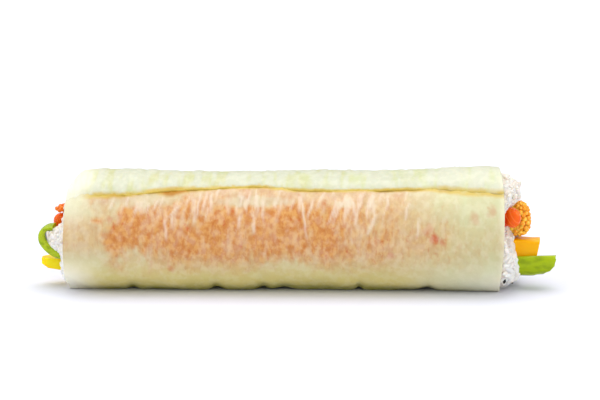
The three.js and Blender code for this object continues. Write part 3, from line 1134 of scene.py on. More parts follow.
    def spots(self, sheet: Sheet) -> Array:
        """Single spots of filling right under the sheet.

        Args:
            sheet: The grid.

        Returns:
            Their strength: each fades from its middle to its rough outline.
        """
        rough = 0.35 * clouds(sheet.x / 1.6, sheet.arc / 1.6, 41, 2)
        shown = np.zeros_like(sheet.x)
        for place, angle, radius, strength in self.glimpses:
            around = 0.8 * (sheet.degrees - angle) * self.roll.degree
            off = np.hypot(sheet.x - place, around) / radius + rough
            shown = np.maximum(shown, strength * (1 - ramp(off, 0.3, 1.1)))
        return shown

    def rims(self, sheet: Sheet) -> tuple[Array, Array]:
        """The golden line along the free edge and on the layer under it, and the painted shade and golden
        stain under the edge.

        Args:
            sheet: The grid.

        Returns:
            Their strengths from 0 to 1, which fade towards both ends.
        """
        x = sheet.x
        golden, left = bell(x, *self.golden), 0.9 * bell(x, *self.left_band)
        right = ramp(x, 50, 75)
        reach = 1.5 + 0.4 * lattice_noise(x / 7, 0 * x, 33) + 3.8 * golden + 1.8 * right + left
        under = (1 - ramp(sheet.below_edge, 0.35 * reach, reach)) * ramp(sheet.below_edge, -4, -3)
        edge = 1 - ramp(sheet.to_edge, 0.3 + 0.3 * right, 0.9 + 0.7 * right + 0.8 * golden + left)
        dapple = ramp(clouds(x / 2.6, sheet.arc / 1.4, 35, 2), -0.1, 0.5)
        fading = ramp(x, -86, -78) * (1 - right * (0.08 + 0.3 * dapple))
        # painted shade on the layer under the flap's edge, with a golden stain deepest in the golden stretch
        shade = under * (0.22 * (1 - right) + 0.4 * lattice_noise(x / 5, 0 * x, 34) + golden)
        return np.clip(edge + under, 0, 1) * fading, np.clip(shade + 0.2 * golden + 0.15 * left, 0, 1)

    def paint(self, sheet: Sheet, creases: Array, furrows: Array) -> dict[str, Array]:
        """What the material needs to know at each point of the sheet.

        Args:
            sheet: The grid.
            creases: Where the ridges get a painted highlight.
            furrows: The dips, which get painted shade.

        Returns:
            Numbers from 0 to 1. lap: where the sheet lies double; dip_shade_and_tint: painted shade in the
                dips,
            and a greener tint at the right end, more so lower down; foot: low on the roll; contact_shade:
            painted shade lower still, next to the floor; blush: pinkish white high on the front; filling:
            where the fillings show through; glimpse: single spots of filling; crease: painted highlight on
            the creases, folds and the flap's strokes; milk_and_light: painted light at both ends;
            rim and edge_shade_and_stain: the golden free edge, and the painted shade and golden stain under
                it.
        """
        x, turned = sheet.x, sheet.mirrored
        right = ramp(x, 50, 74)
        double = ramp(sheet.winding + 9 * clouds(x / 13, 0 * x, 36, 2), 350, 370)
        filling, blush = self.show_through(sheet, double)
        filling = filling * (1 - double) * (1 - 0.3 * creases) + 0.35 * furrows * filling
        # painted light: paler at the left end, low on the right end and along its right edge
        milk_and_light = ramp(-x, 74, 90) * ramp(turned, 0, 30) * (0.35 + 0.45 * double)
        milk_and_light = milk_and_light + ramp(-x, 74, 91) * ramp(-turned, 10, 40)
        milk_and_light = milk_and_light + (0.38 * ramp(x, 45, 70) + 0.4 * ramp(x, 70, 95)) * ramp(-turned, 10, 50)
        milk_and_light = milk_and_light + 0.08 * right * ramp(turned, 8, 30) + 0.3 * ramp(x, 92, 95)
        rim, edge_shade_and_stain = self.rims(sheet)
        return {
            "lap": double,
            "foot": ramp(-turned, 8, 50) * (1 - 0.85 * ramp(x, 50, 84)),
            # painted shade next to the floor, weaker towards both ends
            "contact_shade": ramp(-turned, 46, 70) * (1 - 0.8 * ramp(np.abs(x), 62, 86)),
            # painted shade in the dips of the double layer and the flap, and a greener tint at the right end,
            # more so lower down
            "dip_shade_and_tint": furrows * double + right * (1 - double) * (0.5 + 0.4 * ramp(-turned, 10, 50)),
            "blush": blush,
            "filling": np.clip(filling, 0, 1),
            "glimpse": self.spots(sheet) * (1 - double),
            # painted highlight on the ridges
            "crease": 0.52 * creases,
            "milk_and_light": np.clip(milk_and_light, 0, 1),
            "rim": rim,
            "edge_shade_and_stain": edge_shade_and_stain,
        }

    def surface(self) -> Surface:
        """The sheet as one closed skin.

        Its outer face is the roll's form plus the relief, raised by a wall and a clearance where it passes
        over its own first edge, and settled on to the layer below along the free edge. Its inner face,
        with a third of the rows, lies one thickness deeper. Both long edges are half circles, and the two
        ends close on the sheet's middle line.

        Returns:
            The skin, with the numbers that the material reads.
        """
        sheet = self.sheet()
        x, degrees = sheet.x, sheet.degrees
        height, creases, furrows = self.relief(sheet)
        lift = (self.roll.wall + self.roll.clearance) * ramp(sheet.winding, 300, 355)
        settle = self.settle * (1 + 0.4 * ramp(-x, 76, 86) + 0.1 * ramp(x, 50, 70))
        lift = lift - settle * bell(sheet.to_edge, 0, 2.4)
        outer = self.roll.place(x, degrees, -lift - height)
        inner = self.roll.place(x, degrees, self.thickness - lift - 0.3 * height)
        middle = (outer + inner) / 2
        ends = np.ones(self.columns)
        ends[: len(self.end_shares)] = self.end_shares
        ends[-len(self.end_shares) :] = self.end_shares[::-1]
        out = (outer - inner) / 2 * ends[None, :, None]
        turns = np.linspace(0, math.pi, self.edge_rows + 2)[1:-1]
        forward = unit(middle[-1] - middle[-2]) * self.thickness / 2 * ends[:, None]
        backward = unit(middle[0] - middle[1]) * self.thickness / 2 * ends[:, None]
        free = [middle[-1] + out[-1] * math.cos(t) + forward * math.sin(t) for t in turns]
        hidden = [middle[0] - out[0] * math.cos(t) + backward * math.sin(t) for t in turns]
        inside = np.append(np.arange(0, len(x) - 1, 3), len(x) - 1)[::-1]
        ring = [middle + out, np.stack(free), (middle - out)[inside], np.stack(hidden)]
        values = {}
        for name, face in self.paint(sheet, creases, furrows).items():
            last, first = np.repeat(face[-1:], self.edge_rows, 0), np.repeat(face[:1], self.edge_rows, 0)
            values[name] = np.concatenate([face, last, face[inside], first]).T
        return Surface.from_grid(np.concatenate(ring).transpose(1, 0, 2), values)

    def dress(self) -> bpy.types.Object:
        """Makes the wrap and puts it in place of its solid.

        Returns:
            The object.
        """
        made = self.surface().to_object("wrap_sheet", RicePaper().build())
        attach(made, "root")
        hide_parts("wrap")
        return made


# ---- bars that run through the roll ------------------------------------------------------------------


@dataclass(frozen=True)
class Bar:
    """A bar along the roll.

    Attributes:
        stations: x, y, z, half width and half height of its section at places along it.
        squareness: Power of the section's superellipse: 2 is an ellipse, more is squarer.
        tips: Length over which each end narrows, left and right.
    """

    stations: tuple[tuple[float, ...], ...]
    squareness: float
    tips: tuple[float, float]

    @property
    def ends(self) -> tuple[float, float]:
        """Where the bar starts and stops."""
        return self.stations[0][0], self.stations[-1][0]

    def read(self, x: Array) -> Array:
        """y, z, half width and half height of the section at each x."""
        table = np.array(self.stations)
        return smooth_through(table[:, 0], table[:, 1:], np.clip(x, *self.ends))

    def narrowing(self, x: Array) -> Array:
        """How the bar narrows to its tips.

        Args:
            x: Places along it.

        Returns:
            Share of the full section at each: 1, and down a quarter circle to 0 at both ends.
        """
        share = np.ones_like(x)
        for from_end, tip in ((x - self.ends[0], self.tips[0]), (self.ends[1] - x, self.tips[1])):
            left = np.clip(from_end / tip, 0, 1)
            share = np.minimum(share, np.sqrt(1 - (1 - left) ** 2))
        return share

    def rows(self, near: float, count: int) -> Array:
        """Places along the bar: close together within the given length of each end, wide between.

        Args:
            near: Length of the fine part at each end.
            count: Rows in each fine part.

        Returns:
            Rising x, with the first and the last row on the very ends.
        """
        first, last = self.ends
        fine = near * (1 - np.cos(np.linspace(0, math.pi / 2, count)))
        coarse = np.linspace(first + near, last - near, 24)[1:-1]
        return np.concatenate([first + fine, coarse, (last - fine)[::-1]])

    def outline(self, angle: Array) -> tuple[Array, Array]:
        """The superellipse of the section.

        Args:
            angle: Radians round it from +Y over +Z.

        Returns:
            The angle's cosine and sine, each to the power of 2 by the squareness with its sign kept.
        """
        c, s = np.cos(angle), np.sin(angle)
        power = 2 / self.squareness
        return np.sign(c) * np.abs(c) ** power, np.sign(s) * np.abs(s) ** power

    def skin(self, x: Array, angle: Array, grow: Array | float, share: Array | None = None) -> Array:
        """Points of the bar's surface.

        Args:
            x: Places along it, broadcastable with the angle.
            angle: Radians round the section from +Y over +Z.
            grow: How far out of the plain form.
            share: Share of the full section at each place, if it isn't the narrowing's.

        Returns:
            Points: the centre, plus the grown half sizes times the share and the outline.
        """
        x, angle = np.broadcast_arrays(x, angle)
        at = self.read(x.ravel()).reshape(*x.shape, 4)
        share = self.narrowing(x) if share is None else share
        y, z = self.outline(angle)
        y, z = (at[..., 2] + grow) * share * y, (at[..., 3] + grow) * share * z
        return np.stack([x, at[..., 0] + y, at[..., 1] + z], axis=-1)

    def clear_of(self, points: Array, gap: float, squareness: float = 2.6) -> Array:
        """Which points lie outside the bar.

        Args:
            points: (N, 3) places.
            gap: How far outside it they have to be.
            squareness: Power of the superellipse that is tested.

        Returns:
            For each place, whether it is further than the gap from the bar's section at its x.
        """
        at = self.read(points[:, 0])
        side = np.abs(points[:, 1] - at[:, 0]) / (at[:, 2] + gap)
        up = np.abs(points[:, 2] - at[:, 1]) / (at[:, 3] + gap)
        return side**squareness + up**squareness > 1


@dataclass(frozen=True)
class Salmon:
    """A bar of raw salmon.

    Attributes:
        bar: Its plain form.
        groove: Depth of the grooves between its flakes.
        wobble: How far its sides waver.
    """

    bar: Bar = Bar(
        stations=(
            (-100.6, 4.8, 27.1, 3.7, 3.5),
            (-62, 0.4, 29.4, 3.5, 3.7),
            (-28, -4.2, 30.8, 3.4, 3.9),
            (20, -5.2, 31.4, 3.5, 4.1),
            (70, -8.6, 31.6, 3.4, 4.2),
            (101.9, -13, 32.2, 3.4, 4.2),
        ),
        squareness=2.8,
        tips=(3.0, 3.6),
    )
    groove: float = 0.5
    wobble: float = 0.18

    def surface(self) -> Surface:
        """The bar with shallow grooves between its flakes.

        The grooves slant round it. Each is the sixth power of a cosine that repeats every 9 mm or so, and
        they are deepest on one side.

        Returns:
            The surface, with the grooves, which get painted shade.
        """
        x = self.bar.rows(14, 40)[:, None]
        angle = np.linspace(0, 2 * math.pi, 48, endpoint=False)[None]
        phase = x / 1.5 + 1.6 * np.sin(angle + 0.6) + 0.8 * np.sin(2 * angle)
        groove = (0.5 + 0.5 * np.cos(phase)) ** 6 * (0.55 + 0.45 * np.sin(angle + 3.6))
        wobble = self.wobble * np.sin(3 * angle + x / 2.3)
        grid = self.bar.skin(x, angle, wobble - self.groove * groove)
        # the grooves carry painted shade
        return Surface.from_grid(grid[:, ::-1], {"dip_shade_and_tint": np.clip(1.2 * groove, 0, 1)[:, ::-1]})

    def dress(self) -> bpy.types.Object:
        """Makes the salmon and puts it in place of its solid.

        Returns:
            The object.
        """
        made = self.surface().to_object("salmon_bar", RawSalmon().build())
        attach(made, "root")
        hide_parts("salmon")
        return made


@dataclass(frozen=True)
class Roe:
    """A run of fish roe: a core with beads pressed together over the parts that show.

    Attributes:
        bar: Its outline.
        bead: Radius of a large bead.
        shown: Length at each end that the beads cover.
        tries: Places that are tried for a bead.
        seed: Of their random places.
        right_share: Share of them at the right end.
        spacing: Least distance between two beads' middles, in radii.
        sunk: How far the middles lie under the outline, in radii.
    """

    bar: Bar = Bar(
        stations=(
            (-98.2, 1.5, 33.3, 4, 2),
            (-62, 3, 36.4, 4.1, 2.1),
            (-30, 5.3, 34.6, 3.8, 4),
            (20, 4.4, 31.8, 4.4, 5.8),
            (70, 2.4, 30.8, 5.4, 6.4),
            (105.4, -1.2, 29.6, 6.8, 7.9),
        ),
        squareness=2.8,
        tips=(2.5, 4.0),
    )
    bead: float = 1.15
    shown: float = 15.0
    tries: int = 5200
    seed: int = 41
    right_share: float = 0.6
    spacing: float = 1.4
    sunk: float = 0.95

    def beads(self) -> Surface:
        """Beads over both ends, as close as their size lets them be, each a little different.

        Returns:
            The beads, with their tone and how red they are.
        """
        rng = np.random.default_rng(self.seed)
        first, last = self.bar.ends
        deep = self.shown * rng.random(self.tries) ** 1.3
        x = np.where(rng.random(self.tries) < self.right_share, last - deep, first + deep)
        angle = rng.uniform(0, 2 * math.pi, self.tries)
        places = self.bar.skin(x, angle, -self.sunk * self.bead)
        places = places[spread_out(places, self.spacing * self.bead)]
        count = len(places)
        size = self.bead * rng.uniform(0.78, 1.08, (count, 1)) * rng.uniform(0.93, 1.07, (count, 3))
        turn = random_turns(rng, count)
        values = {"tone": rng.random(count), "ripe": self.ripeness(places[:, 0])}
        return ball(8, 6).copies(places, turn * size[:, None, :], values)

    def ripeness(self, x: Array) -> Array:
        """How red the roe is at a place along the roll."""
        return 0.6 * ramp(-x, 60, 85)

    def core(self) -> Surface:
        """The plain inside of the run, nearly one bead smaller than its outline all round.

        Returns:
            The core, with the same values as the beads.
        """
        x = self.bar.rows(8, 12)[:, None]
        angle = np.linspace(0, 2 * math.pi, 24, endpoint=False)[None]
        grid = self.bar.skin(x, angle, -0.8 * self.bead)
        grid[..., 0] -= self.bead * np.sign(x) * (np.abs(x) > 90)
        values = {"tone": np.full(grid.shape[:2], 0.6), "ripe": self.ripeness(x)}
        return Surface.from_grid(grid[:, ::-1], values)

    def dress(self) -> bpy.types.Object:
        """Makes the roe and puts it in place of its solid.

        Returns:
            The object.
        """
        made = self.core().joined(self.beads()).to_object("roe_beads", FishRoe().build())
        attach(made, "root")
        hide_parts("roe")
        return made


@dataclass(frozen=True)
class YellowPepper:
    """A baton of yellow pepper, cut straight at the right and to a blunt wedge at the left.

    Attributes:
        bar: Its plain form.
        slant: How much further the cut's upper edge stands out than its middle.
        blunt: Share of the section that is left at the wedge's tip.
        cut_rows: Places of the rows at the right end, from the cut.
        cut_shares: Shares of the section that close the cut.
        skin_from: Where the bare flesh of the wedge ends, and where the skin is whole.
    """

    bar: Bar = Bar(
        stations=(
            (-105.6, 2.6, 10.4, 3.6, 2.2),
            (-96, 3.4, 8.1, 4, 2.7),
            (-84, 4.8, 8.8, 4, 3.2),
            (-66, 6.4, 11.4, 4.2, 3.9),
            (-20, 7, 14, 4.3, 4.2),
            (30, 7, 17.8, 4.3, 4.4),
            (62, 2.6, 18.2, 4.3, 4.4),
            (84, -0.6, 17.2, 4.3, 4.4),
            (109.3, -0.8, 16.8, 4.3, 4.4),
        ),
        squareness=7.0,
        tips=(3.0, 0.5),
    )
    slant: float = 0.9
    blunt: float = 0.6
    cut_rows: tuple[float, ...] = (14, 11, 8.5, 6.5, 5, 3.5, 2.4, 1.6, 1, 0.6, 0.34, 0.16, 0.05, 0, 0, 0, 0)
    cut_shares: tuple[float, ...] = (0.7, 0.3, 0.0)
    skin_from: tuple[float, float] = (-94.0, -88.0)

    def surface(self) -> Surface:
        """The baton.

        The left end narrows evenly to a small wedge, the right end is a flat slanted cut with edges
        rounded by half a millimetre, and the four sides are nearly flat and a little uneven.

        Returns:
            The surface, with where its skin is.
        """
        first, last = self.bar.ends
        wedge, rounding = self.bar.tips
        run = np.linspace(first + wedge, last - self.cut_rows[0], 20)[1:-1]
        point = first + np.linspace(0, wedge, 14)
        x = np.concatenate([[first], point, run, last - np.array(self.cut_rows)])[:, None]
        angle = np.linspace(0, 2 * math.pi, 64, endpoint=False)[None]
        share = self.blunt + (1 - self.blunt) * np.clip((x - first) / wedge, 0, 1)
        share[0] = 0
        left = np.clip((last - x) / rounding, 0, 1)
        share = share * (1 - 0.1 * (1 - np.sqrt(1 - (1 - left) ** 2)))
        share[-len(self.cut_shares) :, 0] *= self.cut_shares
        uneven = 0.14 * np.sin(x / 4.1 + 2 * angle) + 0.1 * np.sin(x / 1.9 + 5 * angle)
        grid = self.bar.skin(x, angle, uneven, share)
        middle, half_height = self.bar.read(x.ravel())[:, None, 1], self.bar.stations[-1][4]
        grid[..., 0] += self.slant * ramp(x, last - 6, last) * (grid[..., 2] - middle) / half_height
        return Surface.from_grid(grid[:, ::-1], {"skin": ramp(grid[:, ::-1, 0], *self.skin_from)})

    def dress(self) -> bpy.types.Object:
        """Makes the baton and puts it in place of its solid.

        Returns:
            The object.
        """
        finish = Pepper(title="yellow_pepper_flesh", skin="#ffba00", flesh="#ffe814", shade="#ffac00")
        made = self.surface().to_object("yellow_pepper_baton", finish.build())
        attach(made, "root")
        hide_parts("yellow_pepper")
        return made


@dataclass(frozen=True)
class GreenPepper:
    """A strip of green pepper: flat and hooked at the left, curled into a gutter at the right.

    Attributes:
        path: Points of its middle line, from the hook's tip to the gutter's.
        widths: Width of the wall, flat and in the gutter.
        bends: Radians that the wall's section bends through, flat and in the gutter.
        gutter_from: Where the strip begins to curl, and where it is a full gutter.
        gutter_tilt: Radians that the gutter leans back.
        thickness: Of the wall.
        thin: Share of it at the hook's tip.
        heel: How much thicker the wall is on the bend of the hook.
        heel_at: Lengths along the path between which the heel rises, and between which it falls.
        bow: How far the gutter's floor is cut back at its tip.
        bow_length: Length over which it is drawn back.
        fine_length: Length at each end where the rows are close together.
    """

    path: tuple[tuple[float, float, float], ...] = (
        (-98.6, -4.9, 26.6),
        (-101.6, -4.9, 26.4),
        (-103.5, -4.8, 24.4),
        (-103.6, -4.7, 21.2),
        (-101.4, -4.6, 18.2),
        (-98, -4.7, 16),
        (-92, -5.2, 14.2),
        (-75, -5.8, 12),
        (-30, -6, 10.8),
        (20, -5.6, 9.4),
        (60, -4, 7.2),
        (95, -2.6, 6.7),
        (117, -2.4, 7.3),
    )
    widths: tuple[float, float] = (8.6, 13.2)
    bends: tuple[float, float] = (0.35, 2.9)
    gutter_from: tuple[float, float] = (-50.0, 88.0)
    gutter_tilt: float = 0.52
    thickness: float = 2.9
    thin: float = 0.62
    heel: float = 1.7
    heel_at: tuple[float, ...] = (2.3, 17.5, 23.0, 42.0)
    bow: float = 6.5
    bow_length: float = 12.0
    fine_length: float = 30.0

    def knots(self) -> Array:
        """Length along the path to each of its points."""
        steps = np.linalg.norm(np.diff(np.array(self.path), axis=0), axis=1)
        return np.concatenate([[0], np.cumsum(steps)])

    def travel(self) -> Array:
        """Where along the path the strip is made.

        Returns:
            Lengths along it, close together near its ends.
        """
        whole, fine = self.knots()[-1], self.fine_length
        near = np.linspace(0, fine, 60)
        return np.concatenate([near, np.linspace(fine, whole - fine, 30)[1:-1], whole - near[::-1]])

    def line(self) -> Array:
        """The strip's middle line: a smooth curve through the path."""
        return smooth_through(self.knots(), np.array(self.path), self.travel())

    def surface(self) -> Surface:
        """The strip.

        Its section is an arc of the wall's thickness, which bends more and leans back along the roll. The
        gutter's tip is cut back by the bow at its floor and less and less up to its front rim, and both cut
        ends are flat.

        Returns:
            The surface, with where its skin is.
        """
        line, travel = self.line(), self.travel()
        forward = unit(np.gradient(line, axis=0))
        across = unit(np.array([0, 1, 0]) - forward[:, 1:2] * forward)
        up = np.cross(forward, across)
        gutter = ramp(line[:, 0], *self.gutter_from)[:, None]
        width = self.widths[0] + (self.widths[1] - self.widths[0]) * gutter
        bend = self.bends[0] + (self.bends[1] - self.bends[0]) * gutter
        radius = width / bend
        arc = np.linspace(-0.5, 0.5, 20)[None] * bend - self.gutter_tilt * gutter
        heel = self.heel * ramp(travel, *self.heel_at[:2]) * (1 - ramp(travel, *self.heel_at[2:]))
        wall = self.thickness * (self.thin + (1 - self.thin) * ramp(travel, 2, 7))
        half = (wall + heel)[:, None] / 2
        turn = np.linspace(0, math.pi, 6)[None, 1:-1]
        rim, rise = half * 0.9 * np.sin(turn) / radius, half * np.cos(turn)
        angle = np.concatenate([arc, arc[:, -1:] + rim, arc[:, ::-1], arc[:, :1] - rim], axis=1)
        outer, inner = radius + half + 0 * arc, radius - half + 0 * arc
        reach = np.concatenate([outer, radius + rise, inner, radius - rise], axis=1)
        ribs = 0.12 * np.sin(line[:, :1] / 2.7 + 3 * angle) + 0.08 * np.sin(9 * angle + line[:, :1] / 5)
        outside = np.clip((reach - radius) / half, -1, 1)
        reach = reach + ribs * outside
        index = np.concatenate([[0, 0], np.arange(len(line)), [-1, -1]])
        squeeze = np.concatenate([[0, 0.8], np.ones(len(line)), [0.8, 0]])[:, None]
        angle, reach, radius = angle[index], radius[index] + (reach - radius)[index] * squeeze, radius[index]
        local_y, local_z = reach * np.sin(angle), radius - reach * np.cos(angle)
        grid = line[index, None] + local_y[..., None] * across[index, None]
        grid = grid + local_z[..., None] * up[index, None]
        end = self.path[-1][0]
        tip = ramp(line[index, 0], end - self.bow_length, end)[:, None]
        height = np.clip((1 - np.cos(angle)) / (1 - np.cos(arc[index, :1])), 0, 1)
        grid[..., 0] -= self.bow * tip * (1 - height) ** 2.6 + 0.4 * tip * np.sin(7 * angle) ** 2
        return Surface.from_grid(grid, {"skin": ramp(outside[index], -0.1, 0.9)})

    def dress(self) -> bpy.types.Object:
        """Makes the strip and puts it in place of its solid.

        Returns:
            The object.
        """
        finish = Pepper(title="green_pepper_strip", skin="#a6bc10", flesh="#b4c62c", shade="#7e960c")
        made = self.surface().to_object("green_pepper_strip", finish.build())
        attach(made, "root")
        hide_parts("green_pepper")
        return made


# ---- rice --------------------------------------------------------------------------------------------


@dataclass(frozen=True)
class Heap:
    """How the rice stands out at one end.

    Attributes:
        out: How far it stands out of the wrap.
        mounds: What is added to that: middle in y and z, width, height and rise of each mound or hollow.
        grains: How many places there are for a grain.
        seed: Of their random turns.
    """

    out: float
    mounds: tuple[tuple[float, ...], ...]
    grains: int
    seed: int


@dataclass(frozen=True)
class Rice:
    """The bed of rice: a core under the wrap, with whole grains over both open ends.

    Attributes:
        roll: The form that holds it.
        fillings: The bars that run through it.
        left: Its left end.
        right: Its right end.
        grain_length: Of a usual grain.
        grain_width: Of a usual grain.
        grain_depth: How far under the outline a grain's middle lies.
        grain_gap: How far outside a filling it lies.
        inset: How far the core lies under the outline.
        press: At both ends the core's rim is pressed out by this, against the wrap.
    """

    roll: Roll
    fillings: tuple[Bar, ...]
    left: Heap = Heap(0.5, ((-7.5, 22, 8, 5.8, 9.4), (-16, 7, 10, 6, 2)), 470, 61)
    right: Heap = Heap(6.6, ((-20, 30, 15, 9.4, -12), (0, 43, 18, 6, 2.6), (-6, 6, 16, 7, 1.8)), 640, 62)
    grain_length: float = 5.8
    grain_width: float = 2.5
    grain_depth: float = 0.75
    grain_gap: float = 0.9
    inset: float = 0.35
    press: float = 1.03

    def heap(self, side: Side) -> Heap:
        """One of the two ends."""
        return self.right if side is Side.RIGHT else self.left

    def rise(self, side: Side, y: Array, z: Array) -> Array:
        """How far the rice stands out of the wrap at a place of an end.

        It is a plain height plus rounded mounds and hollows, each its rise times two bell curves.

        Args:
            side: Which end.
            y: Place across the roll.
            z: Height over the floor.

        Returns:
            How far the rice stands out.
        """
        out = self.heap(side).out
        for middle_y, middle_z, wide, high, rise in self.heap(side).mounds:
            out = out + rise * bell(y, middle_y, wide) * bell(z, middle_z, high)
        return out

    def dome(self, side: Side, share: Array, degrees: Array, inset: float = 0.0) -> Array:
        """Points of a domed end.

        Args:
            side: Which end.
            share: 0 on the middle line to 1 at the wrap.
            degrees: Angle round the roll, from -180 to 180.
            inset: How far inside the outline.

        Returns:
            Points: the section drawn in by the share, and x past the wrap's edge by the rise times
            one less the tenth power of the share, and by nothing past 1.
        """
        edge = self.roll.edge(side, np.where(degrees > -90, degrees, degrees + 360))
        full = self.roll.place(edge, degrees, self.roll.wall + self.roll.clearance + inset)
        middle = np.array([0, 0, self.roll.centre_height])
        points = middle + (full - middle) * share[..., None]
        out = self.rise(side, points[..., 1], points[..., 2]) * (1 - np.minimum(share, 1) ** 10) - inset
        points[..., 0] = edge + side.value * out
        return points

    def core(self) -> Surface:
        """The closed inside of the bed, with relief finer than a grain on its two domes.

        Returns:
            The core, with a low whiteness.
        """
        around = np.linspace(180, -180, 96, endpoint=False)
        steps = (0, 0.12, 0.26, 0.4, 0.53, 0.65, 0.76, 0.85, 0.92, 0.97, 1, self.press)
        shares, degrees = np.meshgrid(steps, around, indexing="ij")
        relief = 0.45 * lattice_noise(shares * 13, degrees / 9, 51) * np.maximum(0, 1 - shares)
        left = self.dome(Side.LEFT, shares, degrees, self.inset)
        right = self.dome(Side.RIGHT, shares, degrees, self.inset)
        left[..., 0] += relief
        right[..., 0] -= relief
        t = np.linspace(0, 1, 14)[1:-1, None]
        x = left[-1:, :, 0] * (1 - t) + right[-1:, :, 0] * t
        sides = self.roll.place(x, around[None], self.roll.wall + self.roll.clearance + self.inset)
        grid = np.concatenate([left, sides, right[::-1]])
        return Surface.from_grid(grid, {"whiteness": np.full(grid.shape[:2], 0.1)})

    def grains(self, side: Side) -> Surface:
        """Whole grains over one domed end.

        They start on an even spiral, which places one in each equal part of the disc, and are then moved
        and turned at random. Each lies nearly flat on the dome, and none lies in a filling.

        Args:
            side: Which end.

        Returns:
            The grains as one surface, each with its own whiteness.
        """
        rng, count = np.random.default_rng(self.heap(side).seed), self.heap(side).grains
        number = np.arange(count)
        share = np.sqrt((number + 0.5) / count) + rng.normal(0, 0.012, count)
        share = np.clip(share, 0.02, 0.95)
        degrees = (number * GOLDEN_ANGLE + rng.normal(0, 3, count) + 180) % 360 - 180
        places = self.dome(side, share, degrees, self.grain_depth)
        beside = self.dome(side, share, degrees + 1.0, self.grain_depth) - places
        inward = self.dome(side, share - 0.02, degrees, self.grain_depth) - places
        normal = unit(np.cross(beside, inward))
        normal *= np.sign(normal[:, :1]) * side.value
        turn = rng.uniform(0, 2 * math.pi, count)[:, None]
        length = unit(beside) * np.cos(turn) + unit(inward) * np.sin(turn)
        length = unit(length + normal * rng.normal(0, 0.28, (count, 1)))
        places += normal * rng.normal(0, 0.35, (count, 1))
        width = unit(np.cross(normal, length))
        depth = np.cross(length, width)
        half = [
            rng.normal(self.grain_length / 2, 0.3, count),
            rng.normal(self.grain_width / 2, 0.09, count),
            rng.normal(self.grain_width / 2.35, 0.08, count),
        ]
        frames = np.stack([length, width, depth], axis=2) * np.stack(half, axis=1)[:, None, :]
        clear = np.all([bar.clear_of(places, self.grain_gap) for bar in self.fillings], axis=0)
        # grains lower on the dome are whiter, most of all below 8 mm; those above 28 mm keep only their own
        # random whiteness
        white = rng.uniform(0.1, 0.6, count) + 0.4 * ramp(-places[:, 2], -28, -8)
        return self.grain().copies(places[clear], frames[clear], {"whiteness": white[clear]})

    def grain(self) -> Surface:
        """One grain of length, width and depth 2.

        Returns:
            A ball that is blunter at its ends, and bent by a parabola.
        """
        shape = ball(7, 6)
        x, y, z = shape.points.T
        blunt = np.sign(x) * np.abs(x) ** 0.9
        shape.points = np.stack([blunt, y - 0.22 * (1 - x**2) + 0.1, z], axis=1)
        return shape

    def dress(self) -> bpy.types.Object:
        """Makes the rice and puts it in place of its solid.

        Returns:
            The object.
        """
        bed = self.core().joined(self.grains(Side.LEFT)).joined(self.grains(Side.RIGHT))
        made = bed.to_object("rice_grains", CookedRice().build())
        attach(made, "root")
        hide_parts("rice")
        return made


@dataclass(frozen=True)
class SesameSeeds:
    """Two black sesame seeds in the rice near the wrap's right edge.

    Attributes:
        rice: The bed that they lie on.
        spots: Angle round the roll of each, and its share of the way from the middle line to the wrap.
        size: Length, width and depth of a seed.
        proud: How far its middle stands out of the outline.
        taper: How much thinner it gets towards its point.
        seed: Of the random turns.
    """

    rice: Rice
    spots: tuple[tuple[float, float], ...] = ((-46.0, 0.975), (-74.0, 0.9))
    size: tuple[float, float, float] = (2.3, 1.4, 0.84)
    proud: float = 0.15
    taper: float = 0.45
    seed: int = 71

    def dress(self) -> bpy.types.Object:
        """Makes the seeds: drops that are pointed at one end and lie on the dome of rice.

        Returns:
            The object.
        """
        degrees, share = np.array(self.spots).T
        places = self.rice.dome(Side.RIGHT, share, degrees, -self.proud)
        turn = random_turns(np.random.default_rng(self.seed), len(places))
        seed = ball(10, 8)
        seed.points *= np.array(self.size) / 2
        seed.points[:, 1:] *= 1 - self.taper * ramp(seed.points[:, :1], 0, self.size[0] / 2)
        made = seed.copies(places, turn).to_object("sesame_seeds", SesameHull().build())
        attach(made, "root")
        return made


# ---- studio ------------------------------------------------------------------------------------------


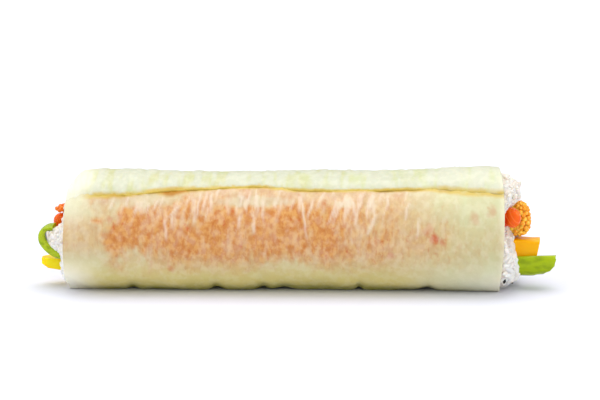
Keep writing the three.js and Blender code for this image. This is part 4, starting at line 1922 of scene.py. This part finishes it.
@dataclass(frozen=True)
class Studio:
    """A pale floor, four large soft lights, white surroundings and the camera.

    Attributes:
        floor_reach: Half the floor's width, in metres.
        lights: Name of each, direction from the roll, power in watts per square metre, and the angle that
            it fills in degrees: the larger, the softer its shadows.
        surroundings: Their linear colour and alpha.
        surround_strength: How bright they are.
        lens: Focal length of the camera.
        distance: From the camera to what it aims at.
        azimuth: Degrees that it stands to the right of the front.
        elevation: Degrees that it looks down.
        tilt: Degrees that it is turned about its own line of sight.
        aim_height: Height over the floor of the place that it aims at.
        aim_right: How far that is then moved to the right in the view.
        aim_up: How far it is moved up in the view.
    """

    floor_reach: float = 6.0
    lights: tuple[tuple[str, tuple[float, float, float], float, float], ...] = (
        ("overhead", (-0.1, 0.25, 1.0), 2.15, 60.0),
        ("front", (0.1, -1.0, 0.4), 0.45, 70.0),
        ("right_side", (1.0, -0.5, 0.7), 0.95, 50.0),
        ("left_side", (-1.0, -0.5, 0.7), 0.85, 50.0),
    )
    surroundings: tuple[float, float, float, float] = (0.95, 0.975, 1.0, 1.0)
    surround_strength: float = 0.47
    lens: float = 150.0
    distance: float = 1075.0
    azimuth: float = 5.0
    elevation: float = 10.0
    tilt: float = -0.78
    aim_height: float = 25.0
    aim_right: float = 7.5
    aim_up: float = 12.1

    def floor(self) -> None:
        """A matt white table that reaches past the view on all sides."""
        mesh = bpy.data.meshes.new("floor")
        reach = self.floor_reach
        corners = [(-reach, -reach, 0), (reach, -reach, 0), (reach, reach, 0), (-reach, reach, 0)]
        mesh.from_pydata(corners, [], [(0, 1, 2, 3)])
        finish = Finish(title="white_table", body="#e2e3ed", roughness=0.9, shine=0.1)
        mesh.materials.append(finish.build())
        made = bpy.data.objects.new("floor", mesh)
        bpy.context.scene.collection.objects.link(made)

    def soft_box(self, name: str, toward: tuple[float, float, float], strength: float, spread: float) -> None:
        """Adds one large far light, which is as strong everywhere on the table.

        Args:
            name: Its name.
            toward: The direction from the roll to the light.
            strength: Its power in watts per square metre.
            spread: The angle that it fills, in degrees.
        """
        lamp = bpy.data.lights.new(name, "SUN")
        lamp.energy = strength
        lamp.angle = math.radians(spread)
        made = bpy.data.objects.new(name, lamp)
        made.rotation_euler = Vector(toward).to_track_quat("Z", "Y").to_euler()
        bpy.context.scene.collection.objects.link(made)

    def camera(self) -> None:
        """Puts the camera in front, a little above and to the right of the roll's middle."""
        a, e = math.radians(self.azimuth), math.radians(self.elevation)
        back = Vector((math.sin(a) * math.cos(e), -math.cos(a) * math.cos(e), math.sin(e)))
        right = Vector((math.cos(a), math.sin(a), 0))
        up = back.cross(right)
        aim = Vector((0, 0, self.aim_height)) + right * self.aim_right + up * self.aim_up
        data = bpy.data.cameras.new("camera")
        data.lens, data.sensor_width = self.lens, 36.0
        data.clip_start, data.clip_end = 0.01, 30.0
        made = bpy.data.objects.new("camera", data)
        tilt = Matrix.Rotation(math.radians(self.tilt), 4, back)
        axes = Matrix((right, up, back)).transposed().to_4x4()
        made.matrix_world = Matrix.Translation((aim + back * self.distance) * MM) @ tilt @ axes
        bpy.context.scene.collection.objects.link(made)
        bpy.context.scene.camera = made

    def build(self) -> None:
        """Makes the floor, the lights, the white surroundings and the camera."""
        self.floor()
        for light in self.lights:
            self.soft_box(*light)
        world = bpy.data.worlds.new("white_surroundings")
        world.use_nodes = True
        background = world.node_tree.nodes["Background"]
        background.inputs["Color"].default_value = self.surroundings
        background.inputs["Strength"].default_value = self.surround_strength
        bpy.context.scene.world = world
        bpy.context.scene.view_settings.view_transform = "Standard"
        bpy.context.scene.view_settings.look = "None"
        self.camera()


# ---- the burrito -------------------------------------------------------------------------------------


def main() -> None:
    """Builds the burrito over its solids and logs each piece."""
    logging.basicConfig(level=logging.INFO, format="%(name)s: %(message)s")
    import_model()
    Studio().build()
    roll = Roll()
    salmon, roe, yellow, green = Salmon(), Roe(), YellowPepper(), GreenPepper()
    rice = Rice(roll, (salmon.bar, roe.bar, yellow.bar))
    for part in (Wrap(roll), rice, salmon, roe, yellow, green, SesameSeeds(rice)):
        made = part.dress()
        triangles = sum(len(face.vertices) - 2 for face in made.data.polygons)
        LOG.info("%s: %d triangles", made.name, triangles)


if __name__ == "__main__":
    main()
